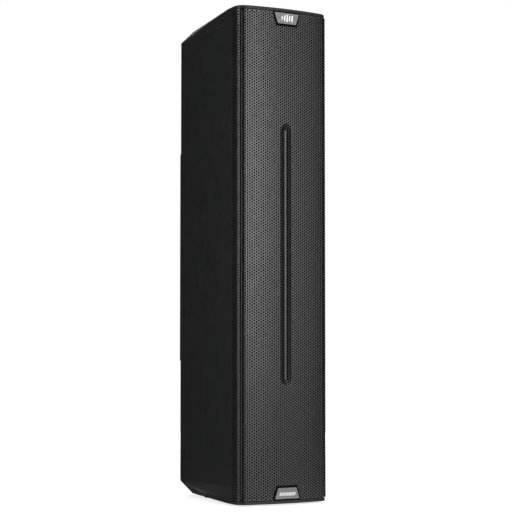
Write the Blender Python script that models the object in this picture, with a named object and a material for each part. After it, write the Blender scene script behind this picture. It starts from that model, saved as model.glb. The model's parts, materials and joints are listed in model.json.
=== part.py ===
"""Column loudspeaker cabinet with a curved perforated front and a powered rear module.

Metres, +Z up. The front faces -Y, +X is to the right of someone who looks at the front, and the
origin is on the floor under the middle of the bounding box.
"""
from math import atan2, cos, pi, radians, sin, sqrt, tan

import bmesh
import bpy
from mathutils import Matrix, Vector

# ---- driving dimensions: cabinet -----------------------------------------------------------
HEIGHT = 0.895              # floor to top, feet included
FOOT_HEIGHT = 0.003
HALF_WIDTH = 0.0967         # half the front width, where the sides meet the front arc
SIDE_TAPER = 0.1389         # the sides lean in towards the back, radians (8 degrees)
FRONT_RADIUS = 0.427        # crown of the front, seen from above
CORNER_RADIUS = 0.0132      # upright front corners of the sheet
CAP_CORNER_RADIUS = 0.018   # the caps' own front corners, rounder than the sheet's
DEPTH = 0.2774              # chord of the front arc to the rear panel
MODULE_PROUD = 0.0125       # rear module beyond the rear panel
WALL = 0.010
GAP = 0.0003                # clearance between pieces that touch
FIT = 0.0005                # looser clearance, round inserted pieces
PAST = 0.05                 # how far a cutter runs past what it cuts
CAP_HEIGHT = 0.030          # top and bottom mouldings
CAP_EDGE_RADIUS = 0.005
LIP_HEIGHT = 0.0055         # cap rim above and below the grille
FACET_DROP = 0.0257         # the rear corner facets run this far down the upright rear edge
FACET_HALF = 0.0305         # half of what is left of the top's rear edge
FACET_START = 0.037         # where a facet starts on the side, behind the chord

# ---- grille --------------------------------------------------------------------------------
GRILLE_INSET = 0.0003       # the sheet is all but flush with the cap outline
GRILLE_THICKNESS = 0.0012
GRILLE_FLANGE = 0.0246      # the sheet folds back along the sides to here, behind the chord
GRILLE_GAP = 0.0015         # dark gap between the sheet's ends and the caps
GROOVE_X = 0.0868
GROOVE_HALF = 0.0020
GROOVE_DEPTH = 0.0035
SLOT_HALF_WIDTH = 0.0121
SLOT_LENGTH = 0.474
SLOT_DEPTH = 0.0058
SLOT_FLOOR = 0.0045         # half width of the slot's floor; its walls slope in from the rim
SLOT_WALL = 0.0012
FOAM_THICKNESS = 0.002
BADGE_WIDE = 0.0260         # half the badge's long edge
BADGE_NARROW = 0.0193       # half its short edge
BADGE_HEIGHT = 0.0204
BADGE_MARGIN = 0.0012       # from the badge's long edge to the end of the sheet
BADGE_THICKNESS = 0.0008
BEZEL_BORDER = 0.0034
BEZEL_THICKNESS = 0.0008
BADGE_PROUD = 2 * GAP + BEZEL_THICKNESS + BADGE_THICKNESS - GRILLE_INSET    # beyond the cap outline

# ---- drivers -------------------------------------------------------------------------------
BAFFLE_SETBACK = 0.0194     # chord to the baffle's front face
BAFFLE_THICKNESS = 0.015
WOOFER_PITCH = 0.160
WOOFER_NEAR = 0.1625        # cabinet's middle to the nearest woofer centres
WOOFER_CUTOUT = 0.0640
HORN_HALF = (0.070, 0.0760)
HORN_FLANGE = 0.006
HORN_THROAT = 0.0125
HORN_DEPTH = 0.062

# ---- rear module ---------------------------------------------------------------------------
MODULE_HALF_WIDTH = 0.0528
MODULE_BOTTOM = 0.245
MODULE_TOP = 0.667
MODULE_SLANT = 0.013
TUB_HALF_WIDTH = 0.0440
TUB_MARGIN = 0.011          # tub ends inside the module's ends
TUB_DEPTH = 0.008
POCKET_HALF_WIDTH = 0.0412
POCKET_BOTTOM = 0.262
POCKET_TOP = 0.456
SINK_BOTTOM = 0.468
SINK_TOP = 0.650
PANEL_THICKNESS = 0.003
PANEL_OVERLAP = 0.004       # the control panel runs this far behind the frame
FIN_COUNT = 10
FIN_THICKNESS = 0.003
SINK_BASE = 0.004

SOCKET_BORE = 0.0095
SOCKET_BARREL = 0.0118
SOCKET_DEPTH = 0.022
SOCKET_FLOOR = 0.003
SOCKET_PLATE = (0.0130, 0.0155, 0.002)
SOCKET_PLACES = {"combo_socket_1": (-0.021, 0.348), "combo_socket_2": (0.021, 0.348),
                 "link_socket": (-0.021, 0.305)}
LATCH_SIZE = (0.0080, 0.0035, 0.0045)
LATCH_RISE = 0.0122         # latch centre above the socket's axis
LATCH_HOLE = (0.0045, 0.0022)   # half the width and height of its hole
LATCH_WELL = 0.020          # depth of its well in the socket
INLET_CENTRE = (-0.016, 0.275)
INLET_PLATE = (0.0155, 0.0120)
INLET_CAVITY = (0.0123, 0.0084, 0.016)
INLET_WALL = 0.001
SWITCH_CENTRE = (0.022, 0.276)
SWITCH_HALF = (0.0062, 0.0094)
SWITCH_TILT = radians(8)
SWITCH_ROOM = 0.0018        # above and below the rocker, for its swing
KNOB_Z = 0.392
KNOB_PLACES = {"knob_input_1": -0.029, "knob_input_2": 0.0, "knob_master": 0.029}
KNOB_RADIUS = 0.0075
KNOB_HEIGHT = 0.0125
BUTTON_CENTRE = (0.029, 0.430)
BUTTON_RADIUS = 0.005
LED_PLACES = {"led_power": (-0.029, 0.430), "led_limit": (-0.017, 0.430)}
LED_RADIUS = 0.002

# ---- mounting and inner fittings -----------------------------------------------------------
POLE_BORE = 0.0178
POLE_WALL = 0.0260
POLE_DEPTH = 0.075
FOOT_RADIUS = 0.009
INSERT_HEIGHTS = (0.725, 0.795)
INSERT_RADIUS = 0.0070
INSERT_BORE = 0.0034
INSERT_LENGTH = 0.014
INSERT_FLOOR = 0.0015       # closed end of the bush
POLE_FLANGE = (0.038, 0.003)    # radius and thickness of the cup's flange
POLE_OUTER = (0.0225, 0.0208)   # radii of the cup's wall at the flange and at the top
POLE_FLOOR = 0.003

TURN_STEPS = 16             # sides of a turned piece

# ---- values worked out from them -----------------------------------------------------------
ARC_DROP = sqrt(FRONT_RADIUS ** 2 - HALF_WIDTH ** 2)
CROWN = FRONT_RADIUS - ARC_DROP
CHORD_Y = (BADGE_PROUD + CROWN - DEPTH - MODULE_PROUD) / 2
ARC_CENTRE = Vector((0, CHORD_Y + ARC_DROP))
REAR_Y = CHORD_Y + DEPTH
BACK_Y = REAR_Y + MODULE_PROUD
BAFFLE_Y = CHORD_Y + BAFFLE_SETBACK
BASE_Z = FOOT_HEIGHT
MIDDLE_Z = (BASE_Z + HEIGHT) / 2
SIDE_START_Y = CHORD_Y + GRILLE_FLANGE + GAP
TUB_Y = REAR_Y + GAP - TUB_DEPTH
PANEL_Y = TUB_Y - GAP       # outer face of the control panel
TOWARDS_FRONT = Matrix.Rotation(pi / 2, 4, "X")
TOWARDS_BACK = Matrix.Rotation(-pi / 2, 4, "X")


def material(name, colour, roughness, metallic=0.0):
    """A Principled material."""
    made = bpy.data.materials.new(name)
    made.use_nodes = True
    shader = made.node_tree.nodes["Principled BSDF"]
    shader.inputs["Base Color"].default_value = (*colour, 1)
    shader.inputs["Roughness"].default_value = roughness
    shader.inputs["Metallic"].default_value = metallic
    return made


def add_object(name, mesh_or_bm, finish, place=(0, 0, 0), turn=None, smooth=False):
    """Link an object made from a bmesh or a shared mesh, placed at its origin."""
    mesh = mesh_or_bm
    if isinstance(mesh_or_bm, bmesh.types.BMesh):
        bmesh.ops.recalc_face_normals(mesh_or_bm, faces=mesh_or_bm.faces)
        mesh = bpy.data.meshes.new(name)
        mesh_or_bm.to_mesh(mesh)
        mesh_or_bm.free()
        mesh.materials.append(material(name, *finish))
        if smooth:
            mesh.shade_smooth()
            mesh.set_sharp_from_angle(angle=radians(35))
    made = bpy.data.objects.new(name, mesh)
    if turn is not None:
        made.matrix_world = Matrix.Translation(place) @ turn
    else:
        made.location = place
    bpy.context.scene.collection.objects.link(made)
    return made


def hide_tool(tool):
    """Mark an object as a cutter, left out of the part."""
    tool.hide_render = True
    tool.display_type = "WIRE"


def combine(target, tool, operation="DIFFERENCE"):
    """Cut or join a target with a tool object that isn't part of the cabinet."""
    hide_tool(tool)
    step = target.modifiers.new(tool.name, "BOOLEAN")
    step.operation = operation
    step.solver = "EXACT"
    step.object = tool


def box_bm(low, high):
    """A box between two corners."""
    bm = bmesh.new()
    bmesh.ops.create_cube(bm, size=1)
    for vert in bm.verts:
        for axis in range(3):
            vert.co[axis] = low[axis] if vert.co[axis] < 0 else high[axis]
    return bm


def boxes_bm(corners):
    """Several separate boxes in one mesh, for cutters."""
    bm = bmesh.new()
    for low, high in corners:
        made = bmesh.ops.create_cube(bm, size=1)["verts"]
        for vert in made:
            for axis in range(3):
                vert.co[axis] = low[axis] if vert.co[axis] < 0 else high[axis]
    return bm


def prism_bm(outline, low, high, axes=(0, 1, 2)):
    """An outline in the plane of the first two axes, extruded from low to high along the third."""
    bm = bmesh.new()
    rings = []
    for level in (low, high):
        ring = []
        for a, b in outline:
            co = [0.0, 0.0, 0.0]
            co[axes[0]] = a
            co[axes[1]] = b
            co[axes[2]] = level
            ring.append(bm.verts.new(co))
        rings.append(ring)
    count = len(outline)
    for k in range(count):
        after = (k + 1) % count
        bm.faces.new((rings[0][k], rings[0][after], rings[1][after], rings[1][k]))
    bm.faces.new(rings[0])
    bm.faces.new(rings[1])
    return bm


def turned_bm(profile, steps=TURN_STEPS):
    """A (radius, height) profile turned about local Z; it closes on the axis or on itself."""
    bm = bmesh.new()
    rings = []
    for radius, height in profile:
        if radius == 0:
            rings.append([bm.verts.new((0, 0, height))])
            continue
        ring = []
        for k in range(steps):
            angle = 2 * pi * (k + 0.5) / steps
            ring.append(bm.verts.new((radius * cos(angle), radius * sin(angle), height)))
        rings.append(ring)
    pairs = list(zip(rings, rings[1:]))
    if len(rings[0]) > 1 and len(rings[-1]) > 1:
        pairs.append((rings[-1], rings[0]))
    for first, second in pairs:
        for k in range(steps):
            after = (k + 1) % steps
            corners = [first[k % len(first)], first[after % len(first)],
                       second[after % len(second)], second[k % len(second)]]
            unique = list(dict.fromkeys(corners))
            if len(unique) > 2:
                bm.faces.new(unique)
    return bm


def drill_bm(radius):
    """A round cutter along local Z, through whatever its origin lies in."""
    return turned_bm([(0, -PAST), (radius, -PAST), (radius, PAST), (0, PAST)])


def half_width(y, inset=0.0):
    """Half the cabinet's width at a depth, measured to the side face or inside it."""
    return HALF_WIDTH - tan(SIDE_TAPER) * (y - CHORD_Y) - inset / cos(SIDE_TAPER)


def corner_centre(rounding=CORNER_RADIUS):
    """Plan centre of the right-hand upright corner's rounding."""
    along = Vector((-sin(SIDE_TAPER), cos(SIDE_TAPER)))
    inward = Vector((-cos(SIDE_TAPER), -sin(SIDE_TAPER)))
    base = Vector((HALF_WIDTH, CHORD_Y)) + inward * rounding
    offset = base - ARC_CENTRE
    half = offset.dot(along)
    root = sqrt(half ** 2 - offset.length_squared + (FRONT_RADIUS - rounding) ** 2)
    return base - along * (half + root)


def arc_y(x, inset=0.0):
    """Front arc at x."""
    return ARC_CENTRE.y - sqrt((FRONT_RADIUS - inset) ** 2 - x ** 2)


def corner_points(inset, first_angle, steps, rounding=CORNER_RADIUS):
    """Points round the right-hand corner, from the front to the side."""
    centre = corner_centre(rounding)
    radius = rounding - inset
    points = []
    for k in range(steps + 1):
        angle = first_angle + (SIDE_TAPER - first_angle) * k / steps
        points.append((centre.x + radius * cos(angle), centre.y + radius * sin(angle)))
    return points


def mirrored(right):
    """A left-to-right outline from its right half, which starts on the middle plane."""
    left = [(-x, y) for x, y in reversed(right) if x > 0]
    return left + list(right)


def corner_angle(rounding=CORNER_RADIUS):
    """Angle at which the corner rounding leaves the front arc."""
    centre = corner_centre(rounding)
    return atan2(centre.y - ARC_CENTRE.y, centre.x - ARC_CENTRE.x)


def cap_outline():
    """Plan outline of a cap: front arc, round corners, tapered sides."""
    rounding = CAP_CORNER_RADIUS
    tangent_x = corner_centre(rounding).x * FRONT_RADIUS / (FRONT_RADIUS - rounding)
    steps = 6
    right = [(tangent_x * k / steps, arc_y(tangent_x * k / steps)) for k in range(steps)]
    right += corner_points(0.0, corner_angle(rounding), 4, rounding)
    right.append((half_width(REAR_Y), REAR_Y))
    return mirrored(right)


def cavity_outline():
    """Plan outline of the space inside the walls, open past the front."""
    rear = REAR_Y - WALL
    front = CHORD_Y - PAST
    return [(-half_width(front, WALL), front), (half_width(front, WALL), front),
            (half_width(rear, WALL), rear), (-half_width(rear, WALL), rear)]


def cut_facets(bm, top_z, sign, offset):
    """Cut the two rear corners of a cap; sign is +1 at the top and -1 at the bottom."""
    for side in (-1, 1):
        start = Vector((side * half_width(CHORD_Y + FACET_START), CHORD_Y + FACET_START, top_z))
        edge = Vector((side * FACET_HALF, REAR_Y, top_z))
        low = Vector((side * half_width(REAR_Y), REAR_Y, top_z - sign * FACET_DROP))
        normal = (edge - start).cross(low - start).normalized()
        if normal.x * side < 0:
            normal.negate()
        geometry = list(bm.verts) + list(bm.edges) + list(bm.faces)
        cut = bmesh.ops.bisect_plane(bm, geom=geometry, plane_co=start - normal * offset,
                                     plane_no=normal, clear_outer=True)
        rim = [item for item in cut["geom_cut"] if isinstance(item, bmesh.types.BMEdge)]
        bmesh.ops.holes_fill(bm, edges=rim)


def make_cap(name, sign):
    """Moulded top (sign +1) or bottom (sign -1) cap, with its rim over the grille."""
    outer = HEIGHT if sign > 0 else BASE_Z
    inner = outer - sign * CAP_HEIGHT
    bm = prism_bm(cap_outline(), inner, outer)
    face_edges = [edge for edge in bm.edges if all(abs(v.co.z - outer) < 1e-6 for v in edge.verts)]
    bmesh.ops.bevel(bm, geom=face_edges, offset=CAP_EDGE_RADIUS, segments=2, profile=0.5,
                    affect="EDGES", clamp_overlap=True)
    cut_facets(bm, outer, sign, 0.0)
    cap = add_object(name, bm, ((0.030, 0.031, 0.033), 0.55))

    hollow = prism_bm(cavity_outline(), inner - sign * PAST, outer - sign * WALL)
    cut_facets(hollow, outer, sign, WALL)
    combine(cap, add_object(name + "_hollow_tool", hollow, ((1, 0, 0), 0.5)))
    low, high = sorted((inner - sign * PAST, outer - sign * LIP_HEIGHT))
    rebate = box_bm((-2 * HALF_WIDTH, CHORD_Y - PAST, low), (2 * HALF_WIDTH, SIDE_START_Y, high))
    combine(cap, add_object(name + "_rebate_tool", rebate, ((1, 0, 0), 0.5)))
    return cap


def make_side_panel(name, side):
    """Flat tapered side wall between the caps."""
    outline = [(side * half_width(SIDE_START_Y), SIDE_START_Y), (side * half_width(REAR_Y), REAR_Y),
               (side * half_width(REAR_Y, WALL), REAR_Y),
               (side * half_width(SIDE_START_Y, WALL), SIDE_START_Y)]
    low = BASE_Z + CAP_HEIGHT + GAP
    high = HEIGHT - CAP_HEIGHT - GAP
    add_object(name, prism_bm(outline, low, high), ((0.030, 0.031, 0.033), 0.55))


def make_rear_panel():
    """Rear wall with the module's cut-out and two insert holes."""
    half = half_width(REAR_Y, WALL) - GAP
    inner_half = half_width(REAR_Y - WALL, WALL) - GAP
    outline = [(-half, REAR_Y), (half, REAR_Y), (inner_half, REAR_Y - WALL), (-inner_half, REAR_Y - WALL)]
    bm = prism_bm(outline, BASE_Z + CAP_HEIGHT + GAP, HEIGHT - CAP_HEIGHT - GAP)
    panel = add_object("rear_panel", bm, ((0.030, 0.031, 0.033), 0.55))
    window = box_bm((-TUB_HALF_WIDTH - FIT, REAR_Y - PAST, MODULE_BOTTOM + TUB_MARGIN - FIT),
                    (TUB_HALF_WIDTH + FIT, REAR_Y + PAST, MODULE_TOP - TUB_MARGIN + FIT))
    combine(panel, add_object("rear_window_tool", window, ((1, 0, 0), 0.5)))
    for k, height in enumerate(INSERT_HEIGHTS):
        hole = drill_bm(INSERT_RADIUS + GAP)
        combine(panel, add_object(f"insert_hole_tool_{k}", hole, ((1, 0, 0), 0.5),
                                  (0, REAR_Y, height), TOWARDS_BACK))


def grille_ends():
    """Lowest and highest level of the grille sheet."""
    return BASE_Z + LIP_HEIGHT + GRILLE_GAP, HEIGHT - LIP_HEIGHT - GRILLE_GAP


def offset_inwards(points, distance):
    """An open outline moved to its inner side, with mitred corners."""
    moved = []
    count = len(points)
    for k in range(count):
        here = Vector(points[k])
        before = Vector(points[max(k - 1, 0)])
        after = Vector(points[min(k + 1, count - 1)])
        first = (here - before) if k > 0 else (after - here)
        second = (after - here) if k < count - 1 else (here - before)
        normal_a = Vector((-first.y, first.x)).normalized()
        normal_b = Vector((-second.y, second.x)).normalized()
        mean = (normal_a + normal_b).normalized()
        moved.append(tuple(here + mean * (distance / max(mean.dot(normal_a), 0.3))))
    return moved


def grille_outline():
    """Plan line of the sheet's outer face: flange, corner, groove, front arc, and mirrored."""
    steps = 7
    main_edge = GROOVE_X - GROOVE_HALF
    right = [(main_edge * k / steps, arc_y(main_edge * k / steps, GRILLE_INSET)) for k in range(steps + 1)]
    right.append((GROOVE_X, arc_y(GROOVE_X, GRILLE_INSET) + GROOVE_DEPTH))
    centre = corner_centre()
    start = -atan2(sqrt((CORNER_RADIUS - GRILLE_INSET) ** 2 - (GROOVE_X + GROOVE_HALF - centre.x) ** 2),
                   GROOVE_X + GROOVE_HALF - centre.x)
    right += corner_points(GRILLE_INSET, start, 5)
    flange_y = CHORD_Y + GRILLE_FLANGE
    right.append((half_width(flange_y, GRILLE_INSET), flange_y))
    return mirrored(right)


def stadium(half, length, steps=8):
    """Upright slot outline with round ends, in X and Z."""
    straight = length / 2 - half
    points = []
    for k in range(steps + 1):
        angle = pi * k / steps
        points.append((half * cos(angle), MIDDLE_Z + straight + half * sin(angle)))
    for k in range(steps + 1):
        angle = pi + pi * k / steps
        points.append((half * cos(angle), MIDDLE_Z - straight + half * sin(angle)))
    return points


def slot_bm(margin, front, back, sunk):
    """A stadium solid narrowing towards the back; sunk is its depth below the sheet at the back."""
    share = (back - front) / sunk
    narrowing = (SLOT_HALF_WIDTH - SLOT_FLOOR) * share
    rim = stadium(SLOT_HALF_WIDTH + margin, SLOT_LENGTH + 2 * margin)
    floor = stadium(SLOT_HALF_WIDTH + margin - narrowing, SLOT_LENGTH + 2 * margin - 2 * narrowing)
    bm = bmesh.new()
    front_ring = [bm.verts.new((x, front, z)) for x, z in rim]
    back_ring = [bm.verts.new((x, back, z)) for x, z in floor]
    count = len(rim)
    for k in range(count):
        after = (k + 1) % count
        bm.faces.new((front_ring[k], front_ring[after], back_ring[after], back_ring[k]))
    bm.faces.new(front_ring)
    bm.faces.new(back_ring)
    return bm


def upright_sheet_bm(outer, thickness):
    """A sheet standing on a plan line between the caps, with its thickness on the inner side."""
    inner = offset_inwards(outer, thickness)
    bm = bmesh.new()
    rows = []
    for level in grille_ends():
        rows.append(([bm.verts.new((x, y, level)) for x, y in outer],
                     [bm.verts.new((x, y, level)) for x, y in inner]))
    last = len(outer) - 1
    for k in range(last):
        bm.faces.new((rows[0][0][k], rows[0][0][k + 1], rows[1][0][k + 1], rows[1][0][k]))
        bm.faces.new((rows[0][1][k], rows[1][1][k], rows[1][1][k + 1], rows[0][1][k + 1]))
        bm.faces.new((rows[0][0][k], rows[0][1][k], rows[0][1][k + 1], rows[0][0][k + 1]))
        bm.faces.new((rows[1][0][k], rows[1][0][k + 1], rows[1][1][k + 1], rows[1][1][k]))
    for k in (0, last):
        bm.faces.new((rows[0][0][k], rows[1][0][k], rows[1][1][k], rows[0][1][k]))
    return bm


def make_grille():
    """Curved sheet with a groove near each edge and a pressed central slot."""
    bm = upright_sheet_bm(grille_outline(), GRILLE_THICKNESS)
    grille = add_object("grille", bm, ((0.045, 0.045, 0.047), 0.38, 0.6), smooth=True)

    front_y = arc_y(0, GRILLE_INSET)
    floor_y = front_y + SLOT_DEPTH
    pan_y = front_y + GRILLE_THICKNESS * 0.6
    pan = slot_bm(SLOT_WALL, pan_y, floor_y + SLOT_WALL, SLOT_DEPTH)
    combine(grille, add_object("slot_pan_tool", pan, ((1, 0, 0), 0.5)), "UNION")
    slot = slot_bm(0.0, front_y - GAP, floor_y, SLOT_DEPTH + GAP)
    combine(grille, add_object("slot_tool", slot, ((1, 0, 0), 0.5)))


def curved_plate_bm(half_at, low, high, front_inset, thickness, columns=4):
    """A plate bent to the front arc; half_at gives its half width at a level."""
    bm = bmesh.new()
    rings = []
    for inset in (front_inset, front_inset + thickness):
        for level in (low, high):
            half = half_at(level)
            row = []
            for k in range(columns + 1):
                x = half * (2 * k / columns - 1)
                row.append(bm.verts.new((x, arc_y(x, inset), level)))
            rings.append(row)
    front_low, front_high, back_low, back_high = rings
    for k in range(columns):
        bm.faces.new((front_low[k], front_low[k + 1], front_high[k + 1], front_high[k]))
        bm.faces.new((back_low[k], back_high[k], back_high[k + 1], back_low[k + 1]))
        bm.faces.new((front_low[k], back_low[k], back_low[k + 1], front_low[k + 1]))
        bm.faces.new((front_high[k], front_high[k + 1], back_high[k + 1], back_high[k]))
    for k in (0, columns):
        bm.faces.new((front_low[k], front_high[k], back_high[k], back_low[k]))
    return bm


def make_grille_foam():
    """Thin acoustic foam behind the whole sheet, corners included, cut out round the slot's pan."""
    face = offset_inwards(grille_outline(), GRILLE_THICKNESS + GAP)
    foam = add_object("grille_foam", upright_sheet_bm(face, FOAM_THICKNESS), ((0.008, 0.008, 0.008), 0.95))
    clear = SLOT_WALL + 2 * GAP
    hole = prism_bm(stadium(SLOT_HALF_WIDTH + clear, SLOT_LENGTH + 2 * clear),
                    CHORD_Y - PAST, CHORD_Y + PAST, axes=(0, 2, 1))
    combine(foam, add_object("foam_slot_tool", hole, ((1, 0, 0), 0.5)))


def badge_levels(upper):
    """Bottom and top level of the upper or lower badge."""
    low, high = grille_ends()
    if upper:
        return high - BADGE_MARGIN - BADGE_HEIGHT, high - BADGE_MARGIN
    return low + BADGE_MARGIN, low + BADGE_MARGIN + BADGE_HEIGHT


def make_badge(upper):
    """Bezel and badge plate, wider towards the nearer cap, bent to the front."""
    low, high = badge_levels(upper)
    word = "top" if upper else "bottom"

    def half_at(level, border=0.0):
        share = (level - low) / (high - low)
        share = share if upper else 1 - share
        return BADGE_NARROW + (BADGE_WIDE - BADGE_NARROW) * share + border

    bezel_inset = GRILLE_INSET - GAP - BEZEL_THICKNESS
    bezel_low = low - BEZEL_BORDER if upper else low - BADGE_MARGIN
    bezel_high = high + BADGE_MARGIN if upper else high + BEZEL_BORDER
    bezel = curved_plate_bm(lambda level: half_at(level, BEZEL_BORDER), bezel_low, bezel_high,
                            bezel_inset, BEZEL_THICKNESS)
    add_object("bezel_" + word, bezel, ((0.006, 0.006, 0.006), 0.5))
    badge_inset = bezel_inset - GAP - BADGE_THICKNESS
    plate = curved_plate_bm(half_at, low + GAP, high - GAP, badge_inset, BADGE_THICKNESS)
    add_object("badge_" + word, plate, ((0.32, 0.32, 0.33), 0.35, 0.9))


def baffle_levels():
    """Bottom and top of the baffle, between the caps' walls."""
    return BASE_Z + WALL + GAP, HEIGHT - WALL - GAP


def woofer_heights():
    """Centre heights of the four woofers, two below and two above the horn."""
    far = WOOFER_NEAR + WOOFER_PITCH
    return [MIDDLE_Z - far, MIDDLE_Z - WOOFER_NEAR, MIDDLE_Z + WOOFER_NEAR, MIDDLE_Z + far]


def make_baffle():
    """Board that carries the drivers."""
    low, high = baffle_levels()
    front = BAFFLE_Y
    back = BAFFLE_Y + BAFFLE_THICKNESS
    outline = [(-half_width(front, WALL) + GAP, front), (half_width(front, WALL) - GAP, front),
               (half_width(back, WALL) - GAP, back), (-half_width(back, WALL) + GAP, back)]
    baffle = add_object("baffle", prism_bm(outline, low, high), ((0.05, 0.045, 0.04), 0.8))
    for k, height in enumerate(woofer_heights()):
        combine(baffle, add_object(f"woofer_hole_tool_{k}", drill_bm(WOOFER_CUTOUT), ((1, 0, 0), 0.5),
                                   (0, BAFFLE_Y, height), TOWARDS_FRONT))
    half_x = HORN_HALF[0] + 2 * FIT
    half_z = HORN_HALF[1] + 2 * FIT
    hole = box_bm((-half_x, front - PAST, MIDDLE_Z - half_z), (half_x, back + PAST, MIDDLE_Z + half_z))
    combine(baffle, add_object("horn_hole_tool", hole, ((1, 0, 0), 0.5)))


BASKET_PROFILE = [(0.0750, 0.0003), (0.0750, 0.0033), (0.0560, 0.0033), (0.0560, -0.0060),
                  (0.0410, -0.0427), (0.0240, -0.0427), (0.0240, -0.0457), (0.0440, -0.0457),
                  (0.0605, -0.0060), (0.0605, 0.0003)]
MAGNET_PROFILE = [(0, -0.0465), (0.0154, -0.0465), (0.0154, -0.0640), (0.0172, -0.0640),
                  (0.0172, -0.0460), (0.0420, -0.0460), (0.0450, -0.0500), (0.0450, -0.0660),
                  (0.0400, -0.0700), (0, -0.0700)]
CONE_PROFILE = [(0, -0.0170), (0.0110, -0.0195), (0.0180, -0.0245), (0.0500, 0.0033),
                (0.0515, 0.0033), (0.0515, 0.0020), (0.0178, -0.0270), (0.0166, -0.0290),
                (0.0166, -0.0490), (0.0160, -0.0490), (0.0160, -0.0270), (0, -0.0185)]
SURROUND_PROFILE = [(0.0740, 0.0036), (0.0740, 0.0046), (0.0655, 0.0046), (0.0625, 0.0102),
                    (0.0555, 0.0102), (0.0525, 0.0046), (0.0475, 0.0046), (0.0475, 0.0036),
                    (0.0533, 0.0036), (0.0560, 0.0092), (0.0620, 0.0092), (0.0647, 0.0036)]
BASKET_WINDOW = (0.017, -0.038, -0.009)     # half width, then the two depths of a window


def make_woofers():
    """Four woofers: basket, magnet, surround and cone with its voice-coil former."""
    finishes = {"basket": ((0.02, 0.02, 0.02), 0.5, 0.5), "magnet": ((0.12, 0.12, 0.12), 0.4, 0.9),
                "surround": ((0.012, 0.012, 0.012), 0.8), "cone": ((0.02, 0.02, 0.02), 0.7)}
    profiles = {"basket": BASKET_PROFILE, "magnet": MAGNET_PROFILE,
                "surround": SURROUND_PROFILE, "cone": CONE_PROFILE}
    shared = {}
    half, deep, shallow = BASKET_WINDOW
    for number, height in enumerate(woofer_heights(), start=1):
        place = (0, BAFFLE_Y, height)
        for word, profile in profiles.items():
            mesh = shared.get(word) or turned_bm(profile)
            made = add_object(f"woofer_{number}_{word}", mesh, finishes[word], place, TOWARDS_FRONT,
                              smooth=True)
            shared[word] = made.data
            if word == "basket":
                across = box_bm((-0.1, -half, deep), (0.1, half, shallow))
                upright = box_bm((-half, -0.1, deep), (half, 0.1, shallow))
                for label, bm in (("across", across), ("upright", upright)):
                    combine(made, add_object(f"window_{label}_tool_{number}", bm, ((1, 0, 0), 0.5),
                                             place, TOWARDS_FRONT))


def make_horn():
    """Rectangular waveguide with its flange, and the compression driver behind it."""
    half_x, half_z = HORN_HALF
    wall = 0.003
    front = BAFFLE_Y - GAP
    sections = [(half_x + HORN_FLANGE, half_z + HORN_FLANGE, front),
                (half_x + HORN_FLANGE, half_z + HORN_FLANGE, front - wall),
                (half_x - wall, half_z - wall, front - wall),
                (half_x * 0.52, half_z * 0.55, front + HORN_DEPTH * 0.45),
                (HORN_THROAT, HORN_THROAT, front + HORN_DEPTH),
                (HORN_THROAT + 0.014, HORN_THROAT + 0.014, front + HORN_DEPTH),
                (HORN_THROAT + 0.014, HORN_THROAT + 0.014, front + HORN_DEPTH - 0.004),
                (half_x * 0.52 + wall, half_z * 0.55 + wall, front + HORN_DEPTH * 0.45),
                (half_x, half_z, front)]
    bm = bmesh.new()
    rings = []
    for x, z, y in sections:
        corners = [(-x, -z), (x, -z), (x, z), (-x, z)]
        rings.append([bm.verts.new((a, y, MIDDLE_Z + b)) for a, b in corners])
    for k, ring in enumerate(rings):
        following = rings[(k + 1) % len(rings)]
        for c in range(4):
            after = (c + 1) % 4
            bm.faces.new((ring[c], ring[after], following[after], following[c]))
    add_object("horn_waveguide", bm, ((0.015, 0.015, 0.015), 0.45))

    start = HORN_DEPTH
    profile = [(0, -start - 0.0505), (0.036, -start - 0.0505), (0.042, -start - 0.046),
               (0.042, -start - 0.012), (0.030, -start - 0.006), (0.024, -start - 0.0003),
               (0.0115, -start - 0.0003), (0.0115, -start - 0.010), (0, -start - 0.010)]
    add_object("compression_driver", turned_bm(profile), ((0.10, 0.10, 0.10), 0.4, 0.8),
               (0, front, MIDDLE_Z), TOWARDS_FRONT, smooth=True)


def make_braces():
    """Two boards that tie the side walls together, with a window for air and leads."""
    front = BAFFLE_Y + BAFFLE_THICKNESS + GAP
    rear = TUB_Y - 0.030
    heights = woofer_heights()
    for name, low_index in (("brace_lower", 0), ("brace_upper", 2)):
        level = (heights[low_index] + heights[low_index + 1]) / 2
        outline = [(-half_width(front, WALL) + GAP, front), (half_width(front, WALL) - GAP, front),
                   (half_width(rear, WALL) - GAP, rear), (-half_width(rear, WALL) + GAP, rear)]
        brace = add_object(name, prism_bm(outline, level - 0.006, level + 0.006),
                           ((0.30, 0.22, 0.13), 0.75))
        window = box_bm((-0.035, front + 0.050, level - 0.05), (0.035, rear - 0.030, level + 0.05))
        combine(brace, add_object(name + "_window_tool", window, ((1, 0, 0), 0.5)))


def make_damping():
    """Fibre pads glued inside the side walls, between the braces."""
    front = BAFFLE_Y + BAFFLE_THICKNESS + 0.020
    rear = TUB_Y - 0.035
    heights = woofer_heights()
    low = (heights[0] + heights[1]) / 2 + 0.012
    high = (heights[2] + heights[3]) / 2 - 0.012
    for name, side in (("damping_pad_left", -1), ("damping_pad_right", 1)):
        outline = [(side * (half_width(front, WALL) - GAP), front),
                   (side * (half_width(rear, WALL) - GAP), rear),
                   (side * (half_width(rear, WALL) - GAP - 0.012), rear),
                   (side * (half_width(front, WALL) - GAP - 0.012), front)]
        add_object(name, prism_bm(outline, low, high), ((0.10, 0.10, 0.11), 0.95))


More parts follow.
